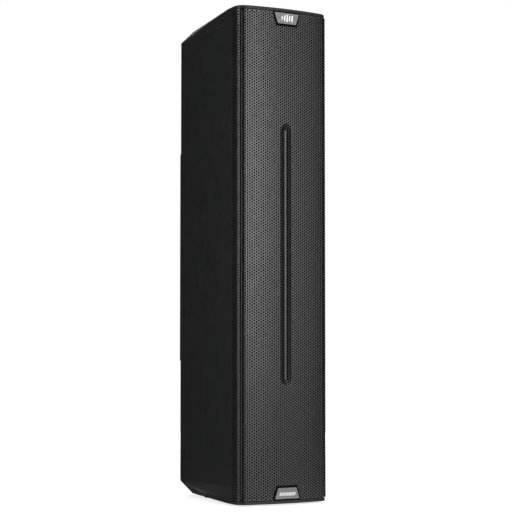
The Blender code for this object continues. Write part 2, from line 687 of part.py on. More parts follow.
def make_module():
    """Cast frame of the rear module: a raised border with slanted ends, and a tub through the wall."""
    slope = MODULE_SLANT
    outline = [(REAR_Y + GAP, MODULE_BOTTOM), (BACK_Y, MODULE_BOTTOM + slope),
               (BACK_Y, MODULE_TOP - slope), (REAR_Y + GAP, MODULE_TOP)]
    frame = add_object("amp_housing", prism_bm(outline, -MODULE_HALF_WIDTH, MODULE_HALF_WIDTH, (1, 2, 0)),
                       ((0.018, 0.018, 0.019), 0.5, 0.3))
    tub = box_bm((-TUB_HALF_WIDTH, TUB_Y, MODULE_BOTTOM + TUB_MARGIN),
                 (TUB_HALF_WIDTH, REAR_Y + 0.002, MODULE_TOP - TUB_MARGIN))
    combine(frame, add_object("tub_tool", tub, ((1, 0, 0), 0.5)), "UNION")
    windows = boxes_bm([((-POCKET_HALF_WIDTH, TUB_Y - PAST, POCKET_BOTTOM),
                         (POCKET_HALF_WIDTH, BACK_Y + PAST, POCKET_TOP)),
                        ((-POCKET_HALF_WIDTH - FIT, TUB_Y - PAST, SINK_BOTTOM - FIT),
                         (POCKET_HALF_WIDTH + FIT, BACK_Y + PAST, SINK_TOP + FIT))])
    combine(frame, add_object("module_window_tool", windows, ((1, 0, 0), 0.5)))


def make_heat_sink():
    """Finned plate in the module's upper window."""
    base = TUB_Y
    pitch = (2 * POCKET_HALF_WIDTH - FIN_THICKNESS) / (FIN_COUNT - 1)
    points = [(POCKET_HALF_WIDTH, base), (-POCKET_HALF_WIDTH, base)]
    for k in range(FIN_COUNT):
        left = -POCKET_HALF_WIDTH + k * pitch
        right = left + FIN_THICKNESS
        points += [(left, base + SINK_BASE), (left + 0.0006, BACK_Y - 0.001),
                   (right - 0.0006, BACK_Y - 0.001), (right, base + SINK_BASE)]
    outline = [points[0], points[1]] + points[3:-1]
    add_object("heat_sink", prism_bm(outline, SINK_BOTTOM, SINK_TOP), ((0.03, 0.03, 0.032), 0.45, 0.7))


def make_control_panel():
    """Plate closing the tub behind the pocket, with a hole for each control."""
    half = TUB_HALF_WIDTH - FIT
    plate = box_bm((-half, PANEL_Y - PANEL_THICKNESS, POCKET_BOTTOM - PANEL_OVERLAP),
                   (half, PANEL_Y, POCKET_TOP + PANEL_OVERLAP))
    panel = add_object("control_panel", plate, ((0.020, 0.020, 0.021), 0.45, 0.2))
    openings = [(INLET_CENTRE, INLET_CAVITY[0] + INLET_WALL + GAP, INLET_CAVITY[1] + INLET_WALL + GAP),
                (SWITCH_CENTRE, SWITCH_HALF[0] + GAP, SWITCH_HALF[1] + SWITCH_ROOM)]
    openings += [((x, z + LATCH_RISE), *LATCH_HOLE)
                 for name, (x, z) in SOCKET_PLACES.items() if name.startswith("combo")]
    corners = [((x - half_x, PANEL_Y - PAST, z - half_z), (x + half_x, PANEL_Y + PAST, z + half_z))
               for (x, z), half_x, half_z in openings]
    combine(panel, add_object("panel_box_tool", boxes_bm(corners), ((1, 0, 0), 0.5)))
    holes = [(name, place, SOCKET_BARREL + GAP) for name, place in SOCKET_PLACES.items()]
    holes += [(name, place, LED_RADIUS + GAP) for name, place in LED_PLACES.items()]
    holes.append(("button", BUTTON_CENTRE, BUTTON_RADIUS + GAP))
    for name, (x, z), radius in holes:
        combine(panel, add_object(name + "_hole_tool", drill_bm(radius), ((1, 0, 0), 0.5), (x, PANEL_Y, z),
                                  TOWARDS_BACK))


def make_sockets():
    """Round panel sockets: a flange outside, a barrel through the panel and an open bore."""
    half_x, half_z, thick = SOCKET_PLATE
    for name, (x, z) in SOCKET_PLACES.items():
        face = PANEL_Y + GAP
        plate = box_bm((x - half_x, face, z - half_z), (x + half_x, face + thick, z + half_z))
        socket = add_object(name, plate, ((0.015, 0.015, 0.016), 0.4))
        barrel = turned_bm([(0, -SOCKET_DEPTH), (SOCKET_BARREL, -SOCKET_DEPTH), (SOCKET_BARREL, thick / 2),
                            (0, thick / 2)])
        combine(socket, add_object(name + "_barrel_tool", barrel, ((1, 0, 0), 0.5), (x, face, z),
                                   TOWARDS_BACK), "UNION")
        bore_floor = SOCKET_FLOOR - SOCKET_DEPTH
        bore = turned_bm([(0, bore_floor), (SOCKET_BORE, bore_floor), (SOCKET_BORE, PAST), (0, PAST)])
        combine(socket, add_object(name + "_bore_tool", bore, ((1, 0, 0), 0.5), (x, face, z),
                                   TOWARDS_BACK))
        if name.startswith("combo"):
            width, height, depth = LATCH_SIZE
            hole_x, hole_z = LATCH_HOLE
            notch = box_bm((x - hole_x, face - LATCH_WELL, z + LATCH_RISE - hole_z),
                           (x + hole_x, face + PAST, z + LATCH_RISE + hole_z))
            combine(socket, add_object(name + "_notch_tool", notch, ((1, 0, 0), 0.5)))
            latch = box_bm((-width / 2, 0, -height / 2), (width / 2, depth, height / 2))
            add_object("combo_latch_" + name[-1], latch, ((0.10, 0.10, 0.10), 0.4, 0.5),
                       (x, face - FIT, z + LATCH_RISE))


def make_inlet():
    """Appliance inlet: flange, body and open cavity."""
    x, z = INLET_CENTRE
    half_x, half_z = INLET_PLATE
    cavity_x, cavity_z, depth = INLET_CAVITY
    face = PANEL_Y + GAP
    plate = box_bm((x - half_x, face, z - half_z), (x + half_x, face + 2 * INLET_WALL, z + half_z))
    inlet = add_object("power_inlet", plate, ((0.012, 0.012, 0.012), 0.45))
    outer_x = cavity_x + INLET_WALL
    outer_z = cavity_z + INLET_WALL
    body = box_bm((x - outer_x, face - depth - 2 * INLET_WALL, z - outer_z),
                  (x + outer_x, face + INLET_WALL, z + outer_z))
    combine(inlet, add_object("inlet_body_tool", body, ((1, 0, 0), 0.5)), "UNION")
    cavity = box_bm((x - cavity_x, face - depth, z - cavity_z), (x + cavity_x, face + PAST, z + cavity_z))
    combine(inlet, add_object("inlet_cavity_tool", cavity, ((1, 0, 0), 0.5)))


def make_switch():
    """Rocker that tips about its middle; it rests with its upper half pressed."""
    x, z = SWITCH_CENTRE
    half_x, half_z = SWITCH_HALF
    outline = [(0.0030, 0.0), (0.0046, half_z), (-0.0020, half_z), (-0.0060, half_z * 0.5),
               (-0.0060, -half_z * 0.5), (-0.0020, -half_z), (0.0046, -half_z)]
    bm = prism_bm(outline, -half_x, half_x, (1, 2, 0))
    add_object("power_switch", bm, ((0.015, 0.015, 0.015), 0.4), (x, PANEL_Y, z),
               Matrix.Rotation(SWITCH_TILT, 4, "X"))


def make_controls():
    """Knobs, push button and indicator lenses."""
    for name, x in KNOB_PLACES.items():
        profile = [(0, 0.0), (KNOB_RADIUS, 0.0), (KNOB_RADIUS, 0.003), (KNOB_RADIUS * 0.86, 0.0045),
                   (KNOB_RADIUS * 0.78, KNOB_HEIGHT - 0.001), (KNOB_RADIUS * 0.66, KNOB_HEIGHT),
                   (0, KNOB_HEIGHT)]
        add_object(name, turned_bm(profile), ((0.02, 0.02, 0.02), 0.6), (x, PANEL_Y + GAP, KNOB_Z),
                   TOWARDS_BACK, smooth=True)
    x, z = BUTTON_CENTRE
    profile = [(0, -0.004), (BUTTON_RADIUS, -0.004), (BUTTON_RADIUS, 0.0030),
               (BUTTON_RADIUS - 0.0006, 0.0036), (0, 0.0036)]
    add_object("preset_button", turned_bm(profile), ((0.35, 0.35, 0.36), 0.45), (x, PANEL_Y, z),
               TOWARDS_BACK, smooth=True)
    colours = {"led_power": (0.05, 0.6, 0.15), "led_limit": (0.7, 0.06, 0.04)}
    for name, (x, z) in LED_PLACES.items():
        profile = [(0, -0.004), (LED_RADIUS, -0.004), (LED_RADIUS, 0.0008), (LED_RADIUS * 0.6, 0.0016),
                   (0, 0.0018)]
        add_object(name, turned_bm(profile, 12), (colours[name], 0.2), (x, PANEL_Y, z), TOWARDS_BACK,
                   smooth=True)


def make_electronics():
    """Amplifier board, power supply and the lead that runs up to the drivers."""
    inner = PANEL_Y - PANEL_THICKNESS - SOCKET_DEPTH - 0.004
    board = box_bm((-0.043, inner - 0.0016, MODULE_BOTTOM + 0.020), (0.043, inner, MODULE_TOP - 0.030))
    add_object("amp_board", board, ((0.02, 0.10, 0.05), 0.5))
    supply = box_bm((-0.036, inner - 0.0019 - 0.032, MODULE_TOP - 0.190),
                    (0.036, inner - 0.0019, MODULE_TOP - 0.060))
    bmesh.ops.bevel(supply, geom=list(supply.edges), offset=0.003, segments=1, affect="EDGES")
    add_object("power_supply", supply, ((0.45, 0.45, 0.46), 0.35, 0.9))

    heights = woofer_heights()
    start = Vector((0.030, inner - 0.0035, MODULE_BOTTOM + 0.060))
    knots = [start, start + Vector((0, -0.012, 0)), Vector((0.0285, 0.060, 0.280)),
             Vector((0.0275, 0.040, 0.245)), Vector((0.0265, 0.020, 0.190)),
             Vector((0.0255, 0.002, heights[0] + 0.055)), Vector((0.0250, -0.010, heights[0] + 0.020)),
             Vector((0.0240, -0.044, heights[0] + 0.006))]
    curve = bpy.data.curves.new("speaker_harness", "CURVE")
    curve.dimensions = "3D"
    curve.bevel_depth = 0.0025
    curve.bevel_resolution = 2
    curve.use_fill_caps = True
    line = curve.splines.new("POLY")
    route = smooth_route(knots, 4)
    line.points.add(len(route) - 1)
    for point, co in zip(line.points, route):
        point.co = (*co, 1)
    curve.materials.append(material("speaker_harness", (0.02, 0.02, 0.02), 0.6))
    bpy.context.scene.collection.objects.link(bpy.data.objects.new("speaker_harness", curve))


def smooth_route(knots, steps):
    """Catmull-Rom points through the knots."""
    points = []
    padded = [knots[0] * 2 - knots[1]] + knots + [knots[-1] * 2 - knots[-2]]
    for a, b, c, d in zip(padded, padded[1:], padded[2:], padded[3:]):
        for k in range(steps):
            t = k / steps
            points.append(0.5 * (2 * b + (c - a) * t + (2 * a - 5 * b + 4 * c - d) * t ** 2
                                 + (3 * b - a - 3 * c + d) * t ** 3))
    points.append(knots[-1].copy())
    return points


def make_pole_socket():
    """Cup for a 35 mm pole, flanged on top of the bottom wall, and its hole in the cap."""
    rim = BASE_Z + 0.0002
    shelf = BASE_Z + WALL + GAP
    floor = rim + POLE_DEPTH
    top = floor + POLE_FLOOR
    flange_radius, flange_height = POLE_FLANGE
    profile = [(0, floor), (POLE_BORE, floor), (POLE_BORE, rim), (POLE_WALL, rim), (POLE_WALL, shelf),
               (flange_radius, shelf), (flange_radius, shelf + flange_height),
               (POLE_OUTER[0], shelf + 2 * flange_height), (POLE_OUTER[1], top), (0, top)]
    add_object("pole_socket", turned_bm(profile), ((0.02, 0.02, 0.02), 0.5), smooth=True)
    hole = turned_bm([(0, -PAST), (POLE_WALL + GAP, -PAST), (POLE_WALL + GAP, shelf), (0, shelf)])
    combine(bpy.data.objects["bottom_cap"], add_object("pole_hole_tool", hole, ((1, 0, 0), 0.5)))


def make_feet():
    """Four rubber feet under the bottom cap."""
    profile = [(0, 0.0), (FOOT_RADIUS - 0.0008, 0.0), (FOOT_RADIUS, 0.0008),
               (FOOT_RADIUS, FOOT_HEIGHT - GAP), (0, FOOT_HEIGHT - GAP)]
    places = [(-0.060, CHORD_Y + 0.042), (0.060, CHORD_Y + 0.042), (-0.034, REAR_Y - 0.070),
              (0.034, REAR_Y - 0.070)]
    mesh = None
    for number, (x, y) in enumerate(places, start=1):
        foot = add_object(f"foot_{number}", mesh or turned_bm(profile, 12), ((0.012, 0.012, 0.012), 0.85),
                          (x, y, 0), smooth=True)
        mesh = foot.data


def make_inserts():
    """Threaded bushes pressed flush into the rear wall, for a wall bracket."""
    floor = INSERT_FLOOR - INSERT_LENGTH
    profile = [(0, floor), (INSERT_BORE, floor), (INSERT_BORE, -GAP), (INSERT_RADIUS, -GAP),
               (INSERT_RADIUS, -INSERT_LENGTH), (0, -INSERT_LENGTH)]
    mesh = None
    for number, height in enumerate(INSERT_HEIGHTS, start=1):
        bush = add_object(f"bracket_insert_{number}", mesh or turned_bm(profile, 12),
                          ((0.5, 0.5, 0.5), 0.35, 1.0), (0, REAR_Y, height), TOWARDS_BACK, smooth=True)
        mesh = bush.data


def main():
    """Build the whole cabinet."""
    for old in list(bpy.data.objects):
        bpy.data.objects.remove(old)
    make_cap("top_cap", 1)
    make_cap("bottom_cap", -1)
    make_side_panel("side_panel_left", -1)
    make_side_panel("side_panel_right", 1)
    make_rear_panel()
    make_grille()
    make_grille_foam()
    make_badge(True)
    make_badge(False)
    make_baffle()
    make_woofers()
    make_horn()
    make_braces()
    make_damping()
    make_module()
    make_heat_sink()
    make_control_panel()
    make_sockets()
    make_inlet()
    make_switch()
    make_controls()
    make_electronics()
    make_pole_socket()
    make_feet()
    make_inserts()


main()
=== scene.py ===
"""Looks of the column loudspeaker: perforated front, mouldings, rear controls, drivers and finishes."""
import json
from collections import Counter
from math import atan2, cos, degrees, pi, radians, sin, sqrt, tan

import bmesh
import bpy
import numpy as np
from mathutils import Matrix, Vector


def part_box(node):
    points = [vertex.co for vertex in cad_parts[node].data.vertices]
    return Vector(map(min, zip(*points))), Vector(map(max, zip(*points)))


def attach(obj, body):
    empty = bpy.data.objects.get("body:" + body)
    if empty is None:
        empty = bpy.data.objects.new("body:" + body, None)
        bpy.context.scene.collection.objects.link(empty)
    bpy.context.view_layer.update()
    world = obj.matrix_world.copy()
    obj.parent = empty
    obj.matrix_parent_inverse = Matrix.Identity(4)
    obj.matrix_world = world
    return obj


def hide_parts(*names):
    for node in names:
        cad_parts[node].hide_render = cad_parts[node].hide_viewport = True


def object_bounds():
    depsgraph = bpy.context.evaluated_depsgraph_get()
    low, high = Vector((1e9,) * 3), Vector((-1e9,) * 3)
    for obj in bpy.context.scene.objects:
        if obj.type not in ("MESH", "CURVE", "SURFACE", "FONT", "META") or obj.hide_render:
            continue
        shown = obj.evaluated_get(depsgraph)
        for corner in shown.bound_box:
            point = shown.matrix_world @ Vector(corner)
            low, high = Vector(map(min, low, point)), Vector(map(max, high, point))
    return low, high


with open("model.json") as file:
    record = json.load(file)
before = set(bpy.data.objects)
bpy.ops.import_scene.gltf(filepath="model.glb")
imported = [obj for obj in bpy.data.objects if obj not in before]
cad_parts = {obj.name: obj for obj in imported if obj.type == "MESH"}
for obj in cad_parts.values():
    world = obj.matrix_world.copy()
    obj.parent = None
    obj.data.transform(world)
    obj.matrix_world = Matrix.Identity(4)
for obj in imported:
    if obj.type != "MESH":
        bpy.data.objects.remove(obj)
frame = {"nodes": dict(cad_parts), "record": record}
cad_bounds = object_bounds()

# ---- the cabinet's driving dimensions, in metres
HALF_WIDTH = 0.0967         # half the front width, where the sides meet the front arc
SIDE_TAPER = 0.1389         # the sides lean in towards the back, radians
FRONT_RADIUS = 0.427
CORNER_RADIUS = 0.0132      # upright front corners of the sheet
CAP_CORNER_RADIUS = 0.018   # the caps' own front corners
WALL = 0.01
GAP = 0.0003
CAP_EDGE_RADIUS = 0.0052
LIP_HEIGHT = 0.0055
LIP_THICKNESS = 0.0018      # the caps are grooved behind the rim that stands over the sheet
CHANNEL_DEPTH = 0.002
FACET_DROP = 0.0257
FACET_HALF = 0.0305
FACET_START = 0.037
FACET_EDGE_RADIUS = 0.0011
GRILLE_INSET = 0.0003
SHEET = 0.0012
GRILLE_FLANGE = 0.0246
GROOVE_X = 0.0868
GROOVE_HALF = 0.002
GROOVE_DEPTH = 0.0035
SLOT_HALF_WIDTH = 0.0116
SLOT_FLOOR = 0.0012
SLOT_LENGTH = 0.474
SLOT_DEPTH = 0.0052
HOLE_PITCH = 0.005          # up the sheet; columns are staggered by half of it
HOLE_RADIUS = 0.0018
HOLE_SIDES = 12
FOAM_THICKNESS = 0.002
BADGE_WIDE = 0.026          # half the badge's long edge
BADGE_NARROW = 0.0193
BEZEL_BORDER = 0.0034
BEZEL_THICKNESS = 0.0008
BADGE_THICKNESS = 0.0008
REAR_EDGE_RADIUS = 0.0015
CUP_RADIUS = 0.026          # outside of the pole cup where it passes through the cap
MERGE = 2e-6                # points closer than this are one

# ---- camera
CAMERA_LENS = 123.1
CAMERA_PLACE = (-1.6983, -2.7989, 0.2738)
CAMERA_PITCH = radians(3.13)
CAMERA_YAW = radians(31.65)

# ---- places read from the frame
HEIGHT = cad_bounds[1].z
BASE_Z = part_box("bottom_cap")[0].z
CAP_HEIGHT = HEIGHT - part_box("top_cap")[0].z
REAR_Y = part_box("rear_panel")[1].y
BACK_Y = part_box("amp_housing")[1].y
PANEL_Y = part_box("control_panel")[1].y
PANEL_FACE = PANEL_Y + GAP
GRILLE_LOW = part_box("grille")[0].z
GRILLE_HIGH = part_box("grille")[1].z
MIDDLE_Z = (BASE_Z + HEIGHT) / 2
ARC_DROP = sqrt(FRONT_RADIUS ** 2 - HALF_WIDTH ** 2)
CHORD_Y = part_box("top_cap")[0].y + FRONT_RADIUS - ARC_DROP
ARC_Y = CHORD_Y + ARC_DROP
SIDE_START_Y = CHORD_Y + GRILLE_FLANGE + GAP
TOWARDS_FRONT = Matrix.Rotation(pi / 2, 4, "X")
TOWARDS_BACK = Matrix.Rotation(-pi / 2, 4, "X")

KNOBS = {"knob_input_1": "input_1_knob", "knob_input_2": "input_2_knob", "knob_master": "master_knob"}
LENSES = {"led_power": "led_green", "led_limit": "led_red"}

# ---- finishes, one for each material slot of the record
# Each row is the colour, the roughness, the size of the surface texture in metres, its strength, and
# the rest: vary is how far the colour wanders, stretch the texture's proportions, and cells picks a
# cellular texture instead of a cloudy one.
FINISHES = {
    "cap_plastic": ((0.0115, 0.0117, 0.0122), 0.48, 0.0007, 0.2, dict(specular=0.5)),
    "painted_panel": ((0.0105, 0.0107, 0.0111), 0.62, 0.0009, 0.3, dict(specular=0.25, cells=True)),
    "grille_steel": ((0.0105, 0.0105, 0.0107), 0.36, 0.0005, 0.1, dict(specular=1.0)),
    "acoustic_foam": ((0.003, 0.003, 0.003), 1.0, 0.0012, 0.8, dict(specular=0.05, cells=True)),
    "bezel_black": ((0.0012, 0.0012, 0.0012), 0.6, 0.0006, 0.1, dict(specular=0.04)),
    "badge_metal": ((0.2, 0.2, 0.205), 0.48, 0.0004, 0.06, dict(metallic=0.3, stretch=(0.03, 1, 1))),
    "baffle_board": ((0.02, 0.019, 0.018), 0.8, 0.003, 0.3, {}),
    "bare_plywood": ((0.46, 0.33, 0.19), 0.65, 0.004, 0.25, dict(vary=0.35, stretch=(0.08, 1, 1))),
    "damping_fibre": ((0.2, 0.2, 0.21), 1.0, 0.004, 1.0, dict(vary=0.4, stretch=(1, 0.3, 0.3))),
    "basket_steel": ((0.02, 0.02, 0.021), 0.45, 0.0008, 0.15, {}),
    "magnet_ferrite": ((0.06, 0.06, 0.062), 0.5, 0.001, 0.3, dict(metallic=0.4)),
    "surround_rubber": ((0.012, 0.012, 0.012), 0.7, 0.001, 0.15, {}),
    "cone_paper": ((0.022, 0.022, 0.022), 0.8, 0.0015, 0.5, dict(vary=0.3)),
    "horn_plastic": ((0.015, 0.015, 0.015), 0.4, 0.0008, 0.12, {}),
    "driver_iron": ((0.05, 0.05, 0.052), 0.45, 0.001, 0.3, dict(metallic=0.5)),
    "module_casting": ((0.016, 0.016, 0.017), 0.48, 0.0007, 0.3, dict(cells=True)),
    "heat_sink_aluminium": ((0.03, 0.03, 0.032), 0.38, 0.0008, 0.12,
                            dict(metallic=0.7, stretch=(1, 1, 0.05))),
    "control_plate": ((0.014, 0.014, 0.015), 0.5, 0.0006, 0.2, {}),
    "socket_plastic": ((0.01, 0.01, 0.011), 0.3, 0.0006, 0.06, {}),
    "latch_metal": ((0.45, 0.45, 0.46), 0.28, 0.0005, 0.05, dict(metallic=1.0)),
    "inlet_plastic": ((0.01, 0.01, 0.01), 0.45, 0.0006, 0.1, {}),
    "switch_plastic": ((0.012, 0.012, 0.012), 0.3, 0.0006, 0.06, {}),
    "knob_rubber": ((0.016, 0.016, 0.016), 0.65, 0.0005, 0.2, {}),
    "button_plastic": ((0.3, 0.3, 0.31), 0.45, 0.0005, 0.1, {}),
    "led_green": ((0.05, 0.6, 0.15), 0.15, 0.0005, 0.02, dict(glow=0.35)),
    "led_red": ((0.6, 0.05, 0.04), 0.15, 0.0005, 0.02, dict(glow=0.05)),
    "board_laminate": ((0.02, 0.12, 0.055), 0.4, 0.002, 0.1, dict(vary=0.25)),
    "supply_case": ((0.5, 0.5, 0.51), 0.35, 0.001, 0.08, dict(metallic=0.9, stretch=(1, 1, 0.05))),
    "lead_jacket": ((0.018, 0.018, 0.018), 0.55, 0.0006, 0.1, {}),
    "pole_cup_plastic": ((0.018, 0.018, 0.018), 0.5, 0.0008, 0.15, {}),
    "foot_rubber": ((0.012, 0.012, 0.012), 0.85, 0.0008, 0.3, {}),
    "insert_brass": ((0.55, 0.5, 0.38), 0.3, 0.0006, 0.05, dict(metallic=1.0)),
    # painted marks and bright inlays, which take their finish from the slot of what they sit on
    "bright_inlay": ((0.85, 0.85, 0.86), 0.3, 0.0004, 0.03, dict(metallic=0.3)),
    "white_print": ((0.62, 0.62, 0.62), 0.6, 0.0004, 0.05, {}),
    "screw_steel": ((0.035, 0.035, 0.037), 0.35, 0.0005, 0.06, dict(metallic=0.8)),
    "contact_metal": ((0.6, 0.58, 0.52), 0.25, 0.0005, 0.03, dict(metallic=1.0)),
}
made_finishes = {}


def fill(node, **values):
    """Set a node's inputs; a name's underscores stand for spaces."""
    for name, value in values.items():
        node.inputs[name.replace("_", " ")].default_value = value


def finish(name):
    """The procedural material of that name: fine relief, wandering colour and uneven gloss."""
    if name not in made_finishes:
        *row, more = FINISHES[name]
        made_finishes[name] = make_finish(name, *row, **more)
    return made_finishes[name]


def make_finish(name, colour, roughness, grain, bump, metallic=0.0, vary=0.14, stretch=(1, 1, 1),
                cells=False, specular=0.5, glow=0.0):
    """A Principled material with its texture in the piece's own metres."""
    material = bpy.data.materials.new(name)
    material.use_nodes = True
    nodes, links = material.node_tree.nodes, material.node_tree.links
    shader = nodes["Principled BSDF"]
    fill(shader, Metallic=metallic, Specular_IOR_Level=specular)
    if glow:
        fill(shader, Emission_Color=(*colour, 1), Emission_Strength=glow)
    place = nodes.new("ShaderNodeTexCoord")
    mapping = nodes.new("ShaderNodeMapping")
    fill(mapping, Scale=stretch)
    links.new(place.outputs["Object"], mapping.inputs["Vector"])

    def noise(size, detail):
        texture = nodes.new("ShaderNodeTexNoise")
        fill(texture, Scale=1 / size, Detail=detail)
        links.new(mapping.outputs["Vector"], texture.inputs["Vector"])
        return texture.outputs["Fac"]

    clouds = noise(grain * 30, 4)
    colours = nodes.new("ShaderNodeValToRGB")
    for element, share, level in zip(colours.color_ramp.elements, (1 - vary, 1 + vary), (0.3, 0.7)):
        element.position = level
        element.color = (*[min(1.0, channel * share) for channel in colour], 1)
    links.new(clouds, colours.inputs["Fac"])
    links.new(colours.outputs["Color"], shader.inputs["Base Color"])

    gloss = nodes.new("ShaderNodeMapRange")
    fill(gloss, To_Min=max(0.05, roughness - 0.06), To_Max=min(1.0, roughness + 0.06))
    links.new(clouds, gloss.inputs["Value"])
    links.new(gloss.outputs["Result"], shader.inputs["Roughness"])

    relief = nodes.new("ShaderNodeBump")
    fill(relief, Strength=bump, Distance=grain * 0.4)
    if cells:
        grains = nodes.new("ShaderNodeTexVoronoi")
        fill(grains, Scale=1 / grain)
        links.new(mapping.outputs["Vector"], grains.inputs["Vector"])
        links.new(grains.outputs["Distance"], relief.inputs["Height"])
    else:
        links.new(noise(grain, 2), relief.inputs["Height"])
    links.new(relief.outputs["Normal"], shader.inputs["Normal"])
    return material


# ---- mesh helpers
def new_object(name, data):
    """An object in the scene."""
    made = bpy.data.objects.new(name, data)
    bpy.context.scene.collection.objects.link(made)
    return made


def outward(bm):
    """The same bmesh with its faces turned outwards."""
    bmesh.ops.recalc_face_normals(bm, faces=bm.faces)
    return bm


def moved(bm, place):
    """The same bmesh carried to a place."""
    bmesh.ops.transform(bm, matrix=place, verts=bm.verts)
    return bm


def back_at(x, y, z):
    """A place in the frame whose local Z points out of the back."""
    return Matrix.Translation((x, y, z)) @ TOWARDS_BACK


def span(node):
    """Low corner, high corner and middle of a CAD node's box."""
    low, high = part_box(node)
    return low, high, (low + high) / 2


def add(name, shape, slot, body="cabinet", stands_for=(), place=None, look=None, angle=32):
    """A piece of the object from a bmesh or a shared mesh, with its finish and the body it rides on."""
    mesh = shape
    if isinstance(shape, bmesh.types.BMesh):
        mesh = bpy.data.meshes.new(name)
        outward(shape).to_mesh(mesh)
        shape.free()
    if not mesh.materials:
        mesh.shade_smooth()
        mesh.set_sharp_from_angle(angle=radians(angle))
        mesh.materials.append(finish(look or slot))
    made = new_object(name, mesh)
    if place is not None:
        made.matrix_world = place
    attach(made, body)
    if stands_for:
        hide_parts(*stands_for)
    return made


def gather(parts):
    """One bmesh from several; each is a bmesh, or a (bmesh, matrix) pair."""
    whole = bmesh.new()
    for item in parts:
        part = moved(*item) if isinstance(item, tuple) else item
        carrier = bpy.data.meshes.new("carrier")
        part.to_mesh(carrier)
        part.free()
        whole.from_mesh(carrier)
        bpy.data.meshes.remove(carrier)
    return whole


def cut(base, *tools, operation="DIFFERENCE"):
    """The base bmesh with each tool bmesh in turn cut from it, or joined to it."""
    for tool in tools:
        pair = []
        for word, shape in (("base", base), ("tool", tool)):
            mesh = bpy.data.meshes.new(word)
            outward(shape).to_mesh(mesh)
            shape.free()
            pair.append(new_object(word, mesh))
        step = pair[0].modifiers.new("cut", "BOOLEAN")
        step.operation = operation
        step.solver = "EXACT"
        step.object = pair[1]
        bpy.context.view_layer.update()
        base = bmesh.new()
        base.from_object(pair[0], bpy.context.evaluated_depsgraph_get())
        bmesh.ops.remove_doubles(base, verts=base.verts, dist=MERGE)
        for made in pair:
            mesh = made.data
            bpy.data.objects.remove(made)
            bpy.data.meshes.remove(mesh)
    return base


def skin(bm, rings):
    """Faces between each ring of vertices and the next; a ring of one vertex is a point."""
    for first, second in zip(rings, rings[1:]):
        steps = max(len(first), len(second))
        for k in range(steps):
            after = (k + 1) % steps
            corners = [first[k % len(first)], first[after % len(first)],
                       second[after % len(second)], second[k % len(second)]]
            unique = list(dict.fromkeys(corners))
            if len(unique) > 2:
                bm.faces.new(unique)


def prism(outline, low, high, axes=(0, 1, 2)):
    """An outline in the plane of the first two axes, extruded from low to high along the third."""
    bm = bmesh.new()
    order = [axes.index(axis) for axis in range(3)]
    rings = [[bm.verts.new([(*point, level)[k] for k in order]) for point in outline]
             for level in (low, high)]
    skin(bm, rings)
    bm.faces.new(rings[0])
    bm.faces.new(rings[1])
    return outward(bm)


def box(low, high, radius=0.0, segments=3):
    """A box between two corners, with rounded edges if a radius is given."""
    bm = bmesh.new()
    bmesh.ops.create_cube(bm, size=1)
    for vert in bm.verts:
        for axis in range(3):
            vert.co[axis] = low[axis] if vert.co[axis] < 0 else high[axis]
    if radius:
        bmesh.ops.bevel(bm, geom=list(bm.edges), offset=radius, segments=segments, profile=0.5,
                        affect="EDGES")
    return bm


def ring_of(bm, reach_at, steps, height):
    """A ring of vertices about Z, its radius given for each angle."""
    turns = [2 * pi * k / steps for k in range(steps)]
    return [bm.verts.new((reach_at(turn) * cos(turn), reach_at(turn) * sin(turn), height)) for turn in turns]


def turned(profile, steps=48):
    """A profile of (radius, height) turned about Z. A third number makes that ring a polygon with so
    many sides. It closes on the axis or on itself."""
    bm = bmesh.new()
    rings = []
    for radius, height, *sides in profile:
        def reach_at(turn):
            if not sides:
                return radius
            half = pi / sides[0]
            return radius * cos(half) / cos(turn % (2 * half) - half)

        rings.append(ring_of(bm, reach_at, steps if radius else 1, height))
    closes = len(rings[0]) > 1 and len(rings[-1]) > 1
    skin(bm, rings + rings[:1] if closes else rings)
    return bm


def tube(inner, outer, low, high, steps=48):
    """A tube between two levels, or a rod if the inner radius is nought."""
    return turned([(inner, low), (outer, low), (outer, high), (inner, high)], steps)


def arc(centre, radius, start, end, steps):
    """Points on a circle, from one angle in degrees to another."""
    points = []
    for k in range(steps + 1):
        angle = radians(start + (end - start) * k / steps)
        points.append((centre[0] + radius * cos(angle), centre[1] + radius * sin(angle)))
    return points


def rounded_rectangle(half_x, half_z, radius, centre=(0, 0), steps=5):
    """Outline of a rectangle with round corners."""
    points = []
    for sign_x, sign_z, start in ((1, -1, -90), (1, 1, 0), (-1, 1, 90), (-1, -1, 180)):
        corner = (centre[0] + sign_x * (half_x - radius), centre[1] + sign_z * (half_z - radius))
        points += arc(corner, radius, start, start + 90, steps)
    return points


def bevel_edges(bm, wanted, radius, segments=3):
    """Round the edges for which wanted(edge) is true."""
    edges = [edge for edge in bm.edges if wanted(edge)]
    bmesh.ops.bevel(bm, geom=edges, offset=radius, segments=segments, profile=0.5, affect="EDGES",
                    clamp_overlap=True)
    bm.normal_update()


def round_back(bm, level, radius):
    """Round the edges of the face at that level along Y."""
    bevel_edges(bm, lambda edge: all(v.co.y > level - 1e-6 for v in edge.verts), radius, 2)


# ---- plan of the cabinet
def half_width(y, inset=0.0):
    """Half the cabinet's width at a depth, to the side face or inside it."""
    return HALF_WIDTH - tan(SIDE_TAPER) * (y - CHORD_Y) - inset / cos(SIDE_TAPER)


def arc_y(x, inset=0.0):
    """Front arc at x."""
    return ARC_Y - sqrt((FRONT_RADIUS - inset) ** 2 - x ** 2)


def corner_centre(rounding):
    """Plan centre of the right-hand upright corner's rounding."""
    along = Vector((-sin(SIDE_TAPER), cos(SIDE_TAPER)))
    base = Vector((HALF_WIDTH, CHORD_Y)) - rounding * Vector((cos(SIDE_TAPER), sin(SIDE_TAPER)))
    offset = base - Vector((0, ARC_Y))
    half = offset.dot(along)
    root = sqrt(half ** 2 - offset.length_squared + (FRONT_RADIUS - rounding) ** 2)
    return base - along * (half + root)


